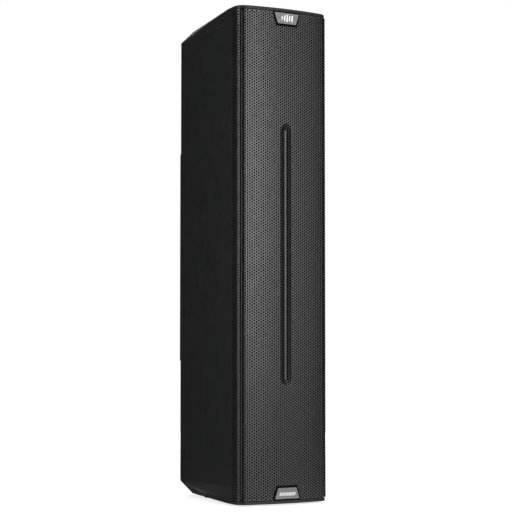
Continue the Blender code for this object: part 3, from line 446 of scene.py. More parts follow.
def front_half_plan(inset, rounding, arc_steps, corner_steps):
    """Right half of the front line: arc from the middle, then round the corner to the side."""
    centre = corner_centre(rounding)
    leave = atan2(centre.y - ARC_Y, centre.x)
    tangent_x = (FRONT_RADIUS - inset) * cos(leave)
    points = [(tangent_x * k / arc_steps, arc_y(tangent_x * k / arc_steps, inset)) for k in range(arc_steps)]
    radius = rounding - inset
    for k in range(corner_steps + 1):
        angle = leave + (SIDE_TAPER - leave) * k / corner_steps
        points.append((centre.x + radius * cos(angle), centre.y + radius * sin(angle)))
    return points


def mirrored(right):
    """A whole outline from its right half, which starts on the middle plane."""
    return [(-x, y) for x, y in reversed(right) if x > 0] + list(right)


def rear_corner():
    """Right-hand rear upright edge, slightly rounded, from the side to the back."""
    radius = REAR_EDGE_RADIUS
    centre = (half_width(REAR_Y - radius) - radius / cos(SIDE_TAPER), REAR_Y - radius)
    return arc(centre, radius, degrees(SIDE_TAPER), 90, 4)


# ---- caps and walls
def cut_facets(bm, outer, sign, offset):
    """Slice off the two rear corners of a cap, leaving the cut faces closed."""
    for side in (-1, 1):
        start = Vector((side * half_width(CHORD_Y + FACET_START), CHORD_Y + FACET_START, outer))
        edge = Vector((side * FACET_HALF, REAR_Y, outer))
        low = Vector((side * half_width(REAR_Y), REAR_Y, outer - sign * FACET_DROP))
        normal = (edge - start).cross(low - start).normalized()
        if normal.x * side < 0:
            normal.negate()
        sliced = bmesh.ops.bisect_plane(bm, geom=[*bm.verts, *bm.edges, *bm.faces],
                                        plane_co=start - normal * offset, plane_no=normal, clear_outer=True)
        rim = [item for item in sliced["geom_cut"] if isinstance(item, bmesh.types.BMEdge)]
        bmesh.ops.holes_fill(bm, edges=rim)
    bm.normal_update()


def make_cap(name, sign, node):
    """Moulded cap: rounded outer edge, rear facets, and a rim that stands over the grille."""
    outer = HEIGHT if sign > 0 else BASE_Z
    inner = outer - sign * CAP_HEIGHT
    open_end = inner - sign * 0.01
    right = front_half_plan(0.0, CAP_CORNER_RADIUS, 20, 12) + rear_corner()
    bm = prism(mirrored(right), inner, outer)
    bevel_edges(bm, lambda edge: all(abs(v.co.z - outer) < 1e-6 for v in edge.verts), CAP_EDGE_RADIUS, 6)
    cut_facets(bm, outer, sign, 0.0)
    facets = [face for face in bm.faces
              if len(face.verts) > 6 and 0.3 < abs(face.normal.z) < 0.99 and face.calc_area() > 5e-4]
    rims = {edge for face in facets for edge in face.edges}
    bevel_edges(bm, lambda edge: edge in rims, FACET_EDGE_RADIUS, 2)

    front = CHORD_Y - 0.05
    rear = REAR_Y - WALL
    cavity = [(side * half_width(y, WALL), y)
              for side, y in ((-1, front), (1, front), (1, rear), (-1, rear))]
    hollow = prism(cavity, open_end, outer - sign * WALL)
    cut_facets(hollow, outer, sign, WALL)
    levels = sorted((open_end, outer - sign * LIP_HEIGHT))
    rebate = box((-0.2, front, levels[0]), (0.2, SIDE_START_Y, levels[1]))
    behind = front_half_plan(LIP_THICKNESS, CAP_CORNER_RADIUS, 20, 12)
    behind.append((half_width(SIDE_START_Y - 0.001, LIP_THICKNESS), SIDE_START_Y - 0.001))
    channel = prism(mirrored(behind), open_end, outer - sign * (LIP_HEIGHT - CHANNEL_DEPTH))
    tools = [hollow, rebate, channel]
    if sign < 0:
        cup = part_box("pole_socket")[0].z
        tools.append(tube(0, CUP_RADIUS + GAP, cup - 0.02, cup + 0.03))
    add(name, cut(bm, *tools), "cap_plastic", stands_for=[node], angle=25)


def make_walls():
    """Side walls with a rounded rear edge and a small round on the edge beside the grille."""
    low = BASE_Z + CAP_HEIGHT + GAP
    high = HEIGHT - CAP_HEIGHT - GAP
    for word, side in (("left", -1), ("right", 1)):
        front_edge = [(half_width(SIDE_START_Y, WALL), SIDE_START_Y),
                      (half_width(SIDE_START_Y, 0.0008), SIDE_START_Y),
                      (half_width(SIDE_START_Y + 0.0003, 0.0002), SIDE_START_Y + 0.0003),
                      (half_width(SIDE_START_Y + 0.0008), SIDE_START_Y + 0.0008)]
        outline = front_edge + rear_corner() + [(half_width(REAR_Y, WALL), REAR_Y)]
        points = [(side * x, y) for x, y in outline]
        add(f"side_wall_{word}", prism(points, low, high), "painted_panel",
            stands_for=[f"side_panel_{word}"])


# ---- perforated sheet
class SheetLine:
    """Plan line of the sheet's outer face, with distances measured along the flat sheet."""

    def __init__(self):
        right = front_half_plan(GRILLE_INSET, CORNER_RADIUS, 400, 60)
        flange_y = CHORD_Y + GRILLE_FLANGE
        last = right[-1]
        end = (half_width(flange_y, GRILLE_INSET), flange_y)
        right += [(last[0] + (end[0] - last[0]) * k / 30, last[1] + (end[1] - last[1]) * k / 30)
                  for k in range(1, 31)]
        line = self.spread(np.array(mirrored(right)), 2401)
        reach = self.along(line)
        half = len(line) // 2
        widest = half + np.argmax(line[half:, 0])
        groove = np.interp(GROOVE_X, line[half:widest, 0], reach[half:widest])
        near = np.clip((np.abs(reach) - groove) / GROOVE_HALF, -1, 1)
        line = line + self.inward(line) * (GROOVE_DEPTH * (1 + np.cos(pi * near)) / 2)[:, None]
        self.groove = np.interp(groove, reach[half:], self.along(line)[half:])
        self.points = self.spread(line, 6001)
        self.reach = self.along(self.points)
        self.normals = self.inward(self.points)
        self.end = self.reach[-1]

    @staticmethod
    def along(line):
        """Distance along the line from its middle."""
        steps = np.linalg.norm(np.diff(line, axis=0), axis=1)
        reach = np.concatenate([[0], np.cumsum(steps)])
        return reach - reach[-1] / 2

    def spread(self, line, count):
        """The same line with evenly spread points."""
        reach = self.along(line)
        even = np.linspace(reach[0], reach[-1], count)
        return np.stack([np.interp(even, reach, line[:, 0]), np.interp(even, reach, line[:, 1])], axis=1)

    @staticmethod
    def inward(line):
        """Unit normals pointing into the cabinet."""
        tangent = np.gradient(line, axis=0)
        normal = np.stack([-tangent[:, 1], tangent[:, 0]], axis=1)
        return normal / np.linalg.norm(normal, axis=1)[:, None]

    def place(self, u, z, depth):
        """Points in the frame for places on the flat sheet; depth is below its outer face."""
        x, y, nx, ny = [np.interp(u, self.reach, row) for row in (*self.points.T, *self.normals.T)]
        depth = depth + slot_depth(u, z)
        return np.stack([x + nx * depth, y + ny * depth, z], axis=1)


def slot_depth(u, z):
    """How far the pressed slot sinks below the sheet: sloping walls to a narrow floor, and round ends."""
    straight = SLOT_LENGTH / 2 - SLOT_HALF_WIDTH
    away = np.hypot(u, np.maximum(np.abs(z - MIDDLE_Z) - straight, 0))
    return SLOT_DEPTH * np.clip((SLOT_HALF_WIDTH - away) / (SLOT_HALF_WIDTH - SLOT_FLOOR), 0, 1)


def sheet_mesh(name, flat, faces, line, thickness, start=0.0):
    """A closed sheet from faces on the flat; loose edges get a wall through the thickness."""
    flat = np.array(flat)
    count = len(flat)
    front = line.place(flat[:, 0], flat[:, 1], start)
    back = line.place(flat[:, 0], flat[:, 1], start + thickness)
    used = Counter()
    for face in faces:
        for a, b in zip(face, face[1:] + face[:1]):
            used[(a, b)] += 1
    walls = [(b, a, a + count, b + count) for a, b in used if (b, a) not in used]
    backs = [tuple(k + count for k in reversed(face)) for face in faces]
    mesh = bpy.data.meshes.new(name)
    mesh.from_pydata(np.concatenate([front, back]).tolist(), [], list(faces) + backs + walls)
    return mesh


def make_grille(line):
    """The perforated sheet in three bands, with staggered round holes but a plain line down the slot."""
    between = 2 * round(line.groove / (HOLE_PITCH * sqrt(3) / 2) - 0.5) + 1
    across = 2 * line.groove / between
    beside = int((line.end - line.groove) / across)
    columns = between + 2 * beside
    rows = round((GRILLE_HIGH - GRILLE_LOW) / HOLE_PITCH)
    half_step = (GRILLE_HIGH - GRILLE_LOW) / rows / 2
    borders = [-line.end] + [across * (i - columns / 2) for i in range(columns + 1)] + [line.end]
    circle = [(HOLE_RADIUS * cos(2 * pi * k / HOLE_SIDES), HOLE_RADIUS * sin(2 * pi * k / HOLE_SIDES))
              for k in range(HOLE_SIDES)]

    def in_slot(z):
        return abs(z - MIDDLE_Z) < SLOT_LENGTH / 2 - SLOT_HALF_WIDTH

    limits = [0, round(rows / 3), round(2 * rows / 3), rows]
    for word, first, last in zip(("lower", "middle", "upper"), limits, limits[1:]):
        flat, faces, index = [], [], {}

        def point(column, u, level):
            if (column, level) not in index:
                index[(column, level)] = len(flat)
                flat.append((u, GRILLE_LOW + level * half_step))
            return index[(column, level)]

        def pair(i, level):
            return [point(i, borders[i], level), point(i + 1, borders[i + 1], level)]

        def floor_pair(level):
            return [point("left", -SLOT_FLOOR, level), point("right", SLOT_FLOOR, level)]

        def plain_quad(i, level):
            faces.append(pair(i, level) + pair(i, level + 1)[::-1])

        def plain_cell(i, j, z):
            middle = floor_pair(j + 1)
            sides = pair(i, j + 1)
            for level, step in ((j, -1), (j + 2, 1)):
                ends = inner = pair(i, level)
                next_row = (level - i % 2) // 2 + (step - 1) // 2
                if first <= next_row < last and in_slot(z + 2 * step * half_step):
                    inner = floor_pair(level)
                for ring in ((ends[0], inner[0], middle[0], sides[0]),
                             (*inner, *middle[::-1]),
                             (inner[1], ends[1], sides[1], middle[1])):
                    ring = list(dict.fromkeys(ring))
                    faces.append(ring if step < 0 else ring[::-1])

        for i in range(columns + 2):
            stagger = i % 2 if 0 < i <= columns else 0
            for row in range(first, last):
                j = 2 * row + stagger
                if stagger and row == 0:
                    plain_quad(i, 0)
                if i in (0, columns + 1) or j + 2 > 2 * rows:
                    for level in range(j, min(j + 2, 2 * rows)):
                        plain_quad(i, level)
                    continue
                middle_u = (borders[i] + borders[i + 1]) / 2
                middle_z = GRILLE_LOW + (j + 1) * half_step
                if abs(middle_u) < 0.001 and in_slot(middle_z):
                    plain_cell(i, j, middle_z)
                    continue
                hole = list(range(len(flat), len(flat) + HOLE_SIDES))
                flat += [(middle_u + a, middle_z + b) for a, b in circle]
                below, beside_hole, above = pair(i, j), pair(i, j + 1), pair(i, j + 2)
                outer = [beside_hole[1], above[1], above[0], beside_hole[0], below[0], below[1]]
                for side in range(6):
                    after = (side + 1) % 6
                    faces.append([outer[side], outer[after], hole[2 * after], hole[2 * side + 1],
                                  hole[2 * side]])
        name = "grille_sheet_" + word
        add(name, sheet_mesh(name, flat, faces, line, SHEET), "grille_steel", stands_for=["grille"], angle=40)


def make_foam(line):
    """Thin acoustic foam that follows the back of the whole sheet, the corners and the slot included."""
    half = line.end - 0.001
    columns, rows = 260, 176
    low = GRILLE_LOW + 0.0005
    tall = GRILLE_HIGH - GRILLE_LOW - 0.001
    flat = [(half * (2 * i / columns - 1), low + tall * j / rows)
            for j in range(rows + 1) for i in range(columns + 1)]
    faces = [[a, a + 1, a + columns + 2, a + columns + 1]
             for j in range(rows) for a in range(j * (columns + 1), j * (columns + 1) + columns)]
    mesh = sheet_mesh("front_foam", flat, faces, line, FOAM_THICKNESS, SHEET + GAP)
    add("front_foam", mesh, "acoustic_foam", stands_for=["grille_foam"])


# ---- badges
def bent_plate(half_at, low, high, inset, thickness, radius):
    """A plate bent to the front arc with round corners and a softened front edge."""
    columns, rows = 28, 16
    bm = bmesh.new()
    layers = []
    for depth in (inset, inset + thickness):
        grid = []
        for j in range(rows + 1):
            z = (low + high) / 2 - (high - low) / 2 * cos(pi * j / rows)
            edge = min(z - low, high - z)
            bite = radius - sqrt(max(0.0, radius ** 2 - max(0.0, radius - edge) ** 2))
            half = half_at(z) - bite
            across = [half * (2 * i / columns - 1) for i in range(columns + 1)]
            grid.append([bm.verts.new((x, arc_y(x, depth), z)) for x in across])
        layers.append(grid)
    loops = []
    for grid in layers:
        for lower, upper in zip(grid, grid[1:]):
            for i in range(columns):
                bm.faces.new((lower[i], lower[i + 1], upper[i + 1], upper[i]))
        loops.append(grid[0][:-1] + [row[-1] for row in grid[:-1]] + grid[-1][:0:-1]
                     + [row[0] for row in grid[:0:-1]])
    skin(bm, loops)
    front = set(loops[0])
    rim = [edge for edge in outward(bm).edges
           if set(edge.verts) <= front and edge.calc_face_angle(0) > 1.0]
    bmesh.ops.bevel(bm, geom=rim, offset=thickness * 0.45, segments=2, profile=0.5, affect="EDGES")
    return bm


def mark(x, z, half_x, half_z, slant, inset, height=0.00025):
    """One small raised bar on the front arc; slant leans it sideways."""
    outline = rounded_rectangle(half_x, half_z, min(half_x, half_z) * 0.6, steps=4)
    front = arc_y(x, inset) - height
    return prism([(x + a + slant * b, z + b) for a, b in outline], front, front + height + 0.0002, (0, 2, 1))


def make_badges():
    """Brushed trapezoid plates on black surrounds, with plain bars for marks."""
    for upper, word in ((True, "top"), (False, "bottom")):
        low, high = [corner.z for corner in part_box("badge_" + word)]
        middle = (low + high) / 2

        def half_at(z, border=0.0):
            share = min(1.0, max(0.0, (z - low) / (high - low)))
            share = share if upper else 1 - share
            return BADGE_NARROW + (BADGE_WIDE - BADGE_NARROW) * share + border

        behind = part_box("bezel_" + word)
        bezel_inset = GRILLE_INSET - GAP - BEZEL_THICKNESS
        bezel = bent_plate(lambda z: half_at(z, BEZEL_BORDER), behind[0].z, behind[1].z, bezel_inset,
                           BEZEL_THICKNESS, 0.003)
        add("badge_surround_" + word, bezel, "bezel_black", stands_for=["bezel_" + word])
        inset = bezel_inset - GAP - BADGE_THICKNESS
        plate = bent_plate(half_at, low, high, inset, BADGE_THICKNESS, 0.0012)
        add("badge_plate_" + word, plate, "badge_metal", stands_for=["badge_" + word])
        if upper:
            heights = (0.003, 0.0052, 0.0066, 0.0048, 0.0058)
            bars = [mark(0.0052 * (k - 2), middle + 0.0004, 0.0014, reach, 0.12, inset)
                    for k, reach in enumerate(heights)]
        else:
            bars = [mark(0.0031 * (k - 5), middle - 0.0012, 0.001, 0.003, 0.25, inset) for k in range(11)]
        add("badge_mark_" + word, gather(bars), "badge_metal", look="bright_inlay")


# ---- rear module
def screw(radius):
    """Pan head with a hexagon recess, along +Z, standing on Z = 0."""
    rise = radius * 0.55
    dome = [(radius * cos(a), rise * (0.35 + 0.65 * sin(a))) for a in (0.0, 0.35, 0.7, 1.0)]
    profile = [(0, 0.0), (radius, 0.0)] + dome
    profile += [(radius * 0.5, rise, 6), (radius * 0.5, rise * 0.3, 6), (0, rise * 0.3)]
    return turned(profile, 24)


def add_screws(name, slot, spots):
    """One piece of several screw heads on rear faces; each spot is a radius and a place."""
    add(name, gather((screw(radius), back_at(*place)) for radius, *place in spots), slot, look="screw_steel")


def make_module():
    """Cast frame with slanted ends, softened edges and round-cornered windows."""
    low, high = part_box("amp_housing")
    sink_low, sink_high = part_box("heat_sink")
    panel_low, panel_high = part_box("control_panel")
    slope = 0.013
    front = REAR_Y + GAP
    outline = [(front, low.z), (BACK_Y, low.z + slope), (BACK_Y, high.z - slope), (front, high.z)]
    casting = prism(outline, low.x, high.x, (1, 2, 0))
    bevel_edges(casting, lambda edge: any(v.co.y > front + 0.001 for v in edge.verts), 0.0022, 4)
    tub = box((-0.044, low.y, low.z + 0.011), (0.044, REAR_Y + 0.002, high.z - 0.011))
    joined = cut(casting, tub, operation="UNION")
    half = sink_high.x
    pocket = rounded_rectangle(half, (panel_high.z - panel_low.z) / 2 - 0.004, 0.004,
                               (0, (panel_low.z + panel_high.z) / 2))
    window = rounded_rectangle(half + 0.0005, (sink_high.z - sink_low.z) / 2 + 0.0005, 0.0006,
                               (0, (sink_low.z + sink_high.z) / 2))
    tools = [prism(hole, low.y - 0.05, BACK_Y + 0.05, (0, 2, 1)) for hole in (pocket, window)]
    add("module_frame", cut(joined, *tools), "module_casting", stands_for=["amp_housing"], angle=25)

    sides = (-1, 1)
    edge_x = (half + high.x) / 2
    levels = (low.z + 0.026, (panel_high.z + sink_low.z) / 2, high.z - 0.026)
    add_screws("module_screws", "module_casting",
               [(0.003, side * edge_x, BACK_Y, z) for z in levels for side in sides])
    cap_levels = (BASE_Z + 0.016, HEIGHT - 0.016)
    wall_levels = (BASE_Z + 0.052, 0.7, HEIGHT - 0.052)
    add_screws("rear_screws", "painted_panel",
               [(0.0032, side * 0.02, REAR_Y, z) for z in cap_levels for side in sides]
               + [(0.003, side * 0.04, REAR_Y, z) for z in wall_levels for side in sides])


def make_heat_sink():
    """Extruded fins with rounded tips and fine flutes on their sides."""
    low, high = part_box("heat_sink")
    base = low.y + 0.004
    count, steps = 10, 6
    thickness = 0.003
    tip = thickness / 2 - 0.0006
    pitch = (high.x - low.x - thickness) / (count - 1)
    points = [(high.x, low.y), (low.x, low.y)]
    for k in range(count):
        left = low.x + k * pitch
        right = left + thickness
        centre = ((left + right) / 2, high.y - tip)
        up = [(left + 0.0006 * s / steps + (0.00018 if s % 2 else 0), base + (centre[1] - base) * s / steps)
              for s in range(1, steps)]
        down = [(left + right - x, y) for x, y in reversed(up)]
        if k:
            points += [(left - 0.0004, base), (left, base + 0.0005)]
        points += up + arc(centre, tip, 180, 0, 6) + down
        if k < count - 1:
            points += [(right, base + 0.0005), (right + 0.0004, base)]
    add("heat_sink_fins", prism(points, low.z, high.z), "heat_sink_aluminium", stands_for=["heat_sink"])


def panel_plate(node, corner, rounding):
    """A connector's flange on the control panel."""
    _, high, middle = span(node)
    outline = rounded_rectangle(high.x - middle.x, high.z - middle.z, corner, (middle.x, middle.z))
    plate = prism(outline, PANEL_FACE, high.y, (0, 2, 1))
    round_back(plate, high.y, rounding)
    return plate


def make_sockets():
    """Panel sockets: flange with two screws, round mouth, contacts, and a latch tab on the combined ones."""
    for node in ("combo_socket_1", "combo_socket_2", "link_socket"):
        low, high, middle = span(node)
        plate = panel_plate(node, 0.0035, 0.0005)
        at_face = back_at(middle.x, PANEL_FACE, middle.z)
        depth = PANEL_FACE - low.y
        rise = high.y - PANEL_FACE
        barrel = moved(tube(0, 0.0118, -depth, 0.001), at_face)
        bore = moved(turned([(0, -depth + 0.003), (0.0095, -depth + 0.003), (0.0095, rise - 0.0008),
                             (0.0105, rise + 0.0002), (0.0105, 0.02), (0, 0.02)]), at_face)
        tools = [bore]
        if node.startswith("combo"):
            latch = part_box("combo_latch_" + node[-1])
            tools.append(box((latch[0].x - 0.0004, PANEL_FACE - 0.02, latch[0].z - 0.0004),
                             (latch[1].x + 0.0004, PANEL_FACE + 0.02, latch[1].z + 0.0004)))
        shell = cut(plate, barrel, operation="UNION")
        add(node + "_shell", cut(shell, *tools), "socket_plastic", stands_for=[node])
        add_screws(node + "_screws", "socket_plastic",
                   [(0.0016, middle.x + side * 0.0104, high.y, middle.z - side * 0.0129) for side in (-1, 1)])
        floor = low.y + 0.003 + 0.0002
        places = [back_at(middle.x + 0.0065 * cos(radians(angle)), floor,
                          middle.z + 0.0065 * sin(radians(angle))) for angle in (90, 210, 330)]
        pin = [(0, 0.0), (0.0011, 0.0), (0.0011, 0.008), (0.0006, 0.009), (0, 0.009)]
        pins = [(turned(pin, 20), place) for place in places]
        pins.append((tube(0.0026, 0.0034, 0.0, 0.01, 32), back_at(middle.x, floor, middle.z)))
        add(node + "_contacts", gather(pins), "latch_metal", look="contact_metal")

    for number in ("1", "2"):
        low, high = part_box("combo_latch_" + number)
        ridges = [low.z + (high.z - low.z) * (k + 1) / 4 for k in range(3)]
        tab = [box(low, high, 0.0005)] + [box((low.x + 0.001, high.y - 0.0003, z - 0.00025),
                                              (high.x - 0.001, high.y + 0.00025, z + 0.00025), 0.0001, 1)
                                          for z in ridges]
        add("latch_tab_" + number, gather(tab), "latch_metal", "latch_" + number,
            stands_for=["combo_latch_" + number])


def make_inlet():
    """Appliance inlet with cut corners at the top of its mouth and three flat pins."""
    low, _, middle = span("power_inlet")
    plate = panel_plate("power_inlet", 0.002, 0.0006)
    half_x, half_z, chamfer = 0.0123, 0.0084, 0.004
    body = box((middle.x - half_x - 0.001, low.y, middle.z - half_z - 0.001),
               (middle.x + half_x + 0.001, PANEL_FACE + 0.001, middle.z + half_z + 0.001))
    mouth = [(-half_x, -half_z), (half_x, -half_z), (half_x, half_z - chamfer), (half_x - chamfer, half_z),
             (-half_x + chamfer, half_z), (-half_x, half_z - chamfer)]
    mouth = [(middle.x + a, middle.z + b) for a, b in mouth]
    shell = cut(plate, body, operation="UNION")
    cavity = prism(mouth, low.y + 0.002, PANEL_FACE + 0.02, (0, 2, 1))
    add("mains_inlet_shell", cut(shell, cavity), "inlet_plastic", stands_for=["power_inlet"])
    pins = [box((middle.x + x - 0.001, low.y + 0.0022, middle.z + z - 0.0022),
                (middle.x + x + 0.001, PANEL_FACE - 0.002, middle.z + z + 0.0022), 0.0004, 2)
            for x, z in ((-0.007, -0.002), (0.0, 0.0025), (0.007, -0.002))]
    add("mains_inlet_pins", gather(pins), "latch_metal", look="contact_metal")


def make_switch():
    """Rocker with a dished, two-sided top, its bezel, and an on mark and an off mark."""
    x, z = 0.022, 0.276
    half_x, half_z = 0.0062, 0.0094
    tilt = Matrix.Translation((x, PANEL_Y, z)) @ Matrix.Rotation(radians(8), 4, "X")
    upper = [(0.003 + 0.0016 * (k / 8) ** 1.6, half_z * k / 8) for k in range(9)]
    lower = [(y, -b) for y, b in reversed(upper[1:])]
    outline = lower + upper + [(-0.002, half_z), (-0.006, half_z * 0.5), (-0.006, -half_z * 0.5),
                               (-0.002, -half_z)]
    bm = prism(outline, -half_x, half_x, (1, 2, 0))
    bevel_edges(bm, lambda edge: all(v.co.y > 0.0025 for v in edge.verts)
                and (edge.calc_face_angle(0) > 0.6), 0.0005, 2)
    add("rocker_key", bm, "switch_plastic", "rocker", stands_for=["power_switch"], place=tilt)
    line = (box((-0.0003, 0, -0.0015), (0.0003, 0.0002, 0.0015), 0.00008, 1),
            Matrix.Translation((0, 0.00375, 0.0052)) @ Matrix.Rotation(radians(11), 4, "X"))
    ring = (tube(0.0011, 0.0016, -0.0001, 0.0001, 32),
            Matrix.Translation((0, 0.00382, -0.0052)) @ Matrix.Rotation(radians(-11), 4, "X") @ TOWARDS_BACK)
    add("rocker_marks", gather([line, ring]), "switch_plastic", "rocker", place=tilt, look="white_print")
    outer = prism(rounded_rectangle(half_x + 0.0026, half_z + 0.0042, 0.0015, (x, z)), PANEL_Y + 0.0001,
                  PANEL_Y + 0.0014, (0, 2, 1))
    round_back(outer, PANEL_Y + 0.0014, 0.0004)
    opening = box((x - half_x - 0.0004, PANEL_Y - 0.02, z - half_z - 0.0018),
                  (x + half_x + 0.0004, PANEL_Y + 0.02, z + half_z + 0.0018))
    add("rocker_bezel", cut(outer, opening), "switch_plastic")


def make_knobs():
    """Three ribbed knobs with a pointer line; the pointer starts at the lower left."""
    for node, body in KNOBS.items():
        low, high, middle = span(node)
        height = high.y - low.y
        radius = (high.z - low.z) / 2
        place = back_at(middle.x, low.y, middle.z)
        bm = bmesh.new()
        levels = [(0.0, 1.0, 0), (0.0026, 1.0, 0), (0.0032, 0.97, 0), (0.004, 0.88, 0.5),
                  (0.005, 0.87, 1), (height - 0.0016, 0.79, 1), (height - 0.0007, 0.74, 0.6),
                  (height, 0.66, 0)]
        rings = []
        for z, share, rib in levels:
            rings.append(ring_of(bm, lambda turn: radius * share
                                 * (1 - 0.045 * rib * (0.5 + 0.5 * cos(24 * turn))), 96, z))
        rings.append([bm.verts.new((v.co.x * 0.8, v.co.y * 0.8, height - 0.0004)) for v in rings[-1]])
        skin(bm, rings)
        bm.faces.new(rings[0])
        bm.faces.new(rings[-1])
        add(node + "_grip", bm, "knob_rubber", body, stands_for=[node], place=place)
        # local Y runs down the panel and local X to the left, seen from behind
        on_top = box((-0.00045, radius * 0.15, height - 0.0005), (0.00045, radius * 0.64, height + 0.00015),
                     0.0001, 1)
        on_side = box((-0.00045, radius * 0.6, height * 0.45), (0.00045, radius * 0.8, height - 0.0008),
                      0.0001, 1)
        add(node + "_pointer", gather([on_top, on_side]), "knob_rubber", body,
            place=place @ Matrix.Rotation(radians(-30), 4, "Z"), look="white_print")


def make_button_and_lenses():
    """Soft push button with a trim ring, and two lenses in their holders."""
    for node in ("preset_button", "led_power", "led_limit"):
        low, high, middle = span(node)
        radius = (high.z - low.z) / 2
        at_face = back_at(middle.x, PANEL_Y, middle.z)
        rise = high.y - PANEL_Y
        profile = [(0, low.y - PANEL_Y), (radius, low.y - PANEL_Y)]
        if node == "preset_button":
            profile += [(radius, rise - 0.001)]
            profile += [(radius - 0.0008 + 0.0008 * cos(a), rise - 0.001 + 0.0008 * sin(a))
                        for a in (0.5, 1.0, 1.57)]
            profile += [(radius * 0.6, rise - 0.0005), (0, rise - 0.0007)]
            add("preset_cap", turned(profile), "button_plastic", "preset_key", stands_for=[node],
                place=at_face)
            rim, name, steps = ((0.0018, 0.0001), (0.0016, 0.0009), (0.0007, 0.0011)), "preset_trim", 48
        else:
            profile += [(radius * cos(a), rise - radius * 0.8 + radius * 0.8 * sin(a))
                        for a in (0, 0.4, 0.8, 1.2)]
            add(node + "_lens", turned(profile + [(0, rise)], 32), LENSES[node], stands_for=[node],
                place=at_face)
            rim, name, steps = ((0.0012, 0.0001), (0.001, 0.0006), (0.0005, 0.0007)), node + "_holder", 32
        ring = [(radius + wide, level) for wide, level in ((0.0004, 0.0001), *rim)]
        add(name, turned(ring, steps), "control_plate", look="socket_plastic", place=at_face)


def make_panel_print():
    """Printed ticks round the knobs and frames round the groups; no lettering."""
    thin, thick = 0.00002, 0.00012
    bits = []
    for node in KNOBS:
        middle = span(node)[2]
        for k in range(11):
            turn = radians(-150 + 30 * k)
            place = Matrix.Translation((middle.x, PANEL_Y, middle.z)) @ Matrix.Rotation(turn, 4, "Y")
            long_tick = 0.0012 if k in (0, 5, 10) else 0.0007
            bits.append((box((-0.0002, thin, 0.0096), (0.0002, thick, 0.0096 + long_tick)), place))
    half_x, half_z = 0.038, 0.0175
    for z in (0.348, 0.3925):
        outer = rounded_rectangle(half_x, half_z, 0.002, (0, z), 6)
        inner = rounded_rectangle(half_x - 0.0003, half_z - 0.0003, 0.0017, (0, z), 6)
        bm = bmesh.new()
        rings = [[bm.verts.new((a, PANEL_Y + level, b)) for a, b in outline]
                 for outline, level in ((outer, thin), (outer, thick), (inner, thick), (inner, thin))]
        skin(bm, rings + rings[:1])
        bits.append(bm)
    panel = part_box("control_panel")
    for side in (-1, 1):
        for z in (panel[0].z + 0.01, panel[1].z - 0.01):
            bits.append((tube(0, 0.0007, thin, thick, 20), back_at(side * 0.0375, PANEL_Y, z)))
    add("panel_print", gather(bits), "control_plate", look="white_print")


# ---- fittings under and behind
def make_fittings():
    """Pole cup, feet and threaded bushes with finer turned shapes."""
    low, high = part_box("pole_socket")
    shelf = BASE_Z + WALL + GAP
    top = high.z
    profile = [(0, top - 0.003), (0.0178, top - 0.003), (0.0178, low.z + 0.001), (0.0186, low.z),
               (0.0254, low.z), (CUP_RADIUS, low.z + 0.0006), (CUP_RADIUS, shelf), (0.038, shelf),
               (0.038, shelf + 0.0024), (0.0374, shelf + 0.003), (0.0225, shelf + 0.006),
               (0.0208, top - 0.001), (0.0198, top), (0, top)]
    add("pole_cup_body", turned(profile, 72), "pole_cup_plastic", stands_for=["pole_socket"])

    shared = None
    for number in range(1, 5):
        node = f"foot_{number}"
        low, high, middle = span(node)
        radius = (high.x - low.x) / 2
        tall = high.z - low.z
        treads = [(0.3, 0.0004), (0.34, 0.0), (0.6, 0.0), (0.64, 0.0004), (0.7, 0.0004), (0.74, 0.0)]
        profile = [(0, 0.0004)] + [(radius * share, level) for share, level in treads]
        profile += [(radius - 0.0008, 0.0), (radius - 0.0002, 0.0003), (radius, 0.0009), (radius, tall),
                    (0, tall)]
        shared = add(f"foot_pad_{number}", shared or turned(profile), "foot_rubber", stands_for=[node],
                     place=Matrix.Translation((middle.x, middle.y, low.z))).data

    shared = None
    for number in (1, 2):
        node = f"bracket_insert_{number}"
        low, high, middle = span(node)
        length = high.y - low.y
        floor = 0.0015 - length
        turns = 11
        thread = []
        for k in range(turns):
            level = floor - floor * (k + 0.5) / turns
            thread += [(0.0038, level - 0.0002), (0.0034, level + 0.0003)]
        profile = [(0, -length), (0.0068, -length), (0.007, 0.0002 - length), (0.007, -0.0003), (0.0067, 0),
                   (0.0044, 0), (0.0038, -0.0006)] + thread[:1:-1] + [(0.0034, floor), (0, floor)]
        shared = add(f"bracket_bush_{number}", shared or turned(profile, 48), "insert_brass",
                     stands_for=[node], place=back_at(middle.x, high.y, middle.z)).data


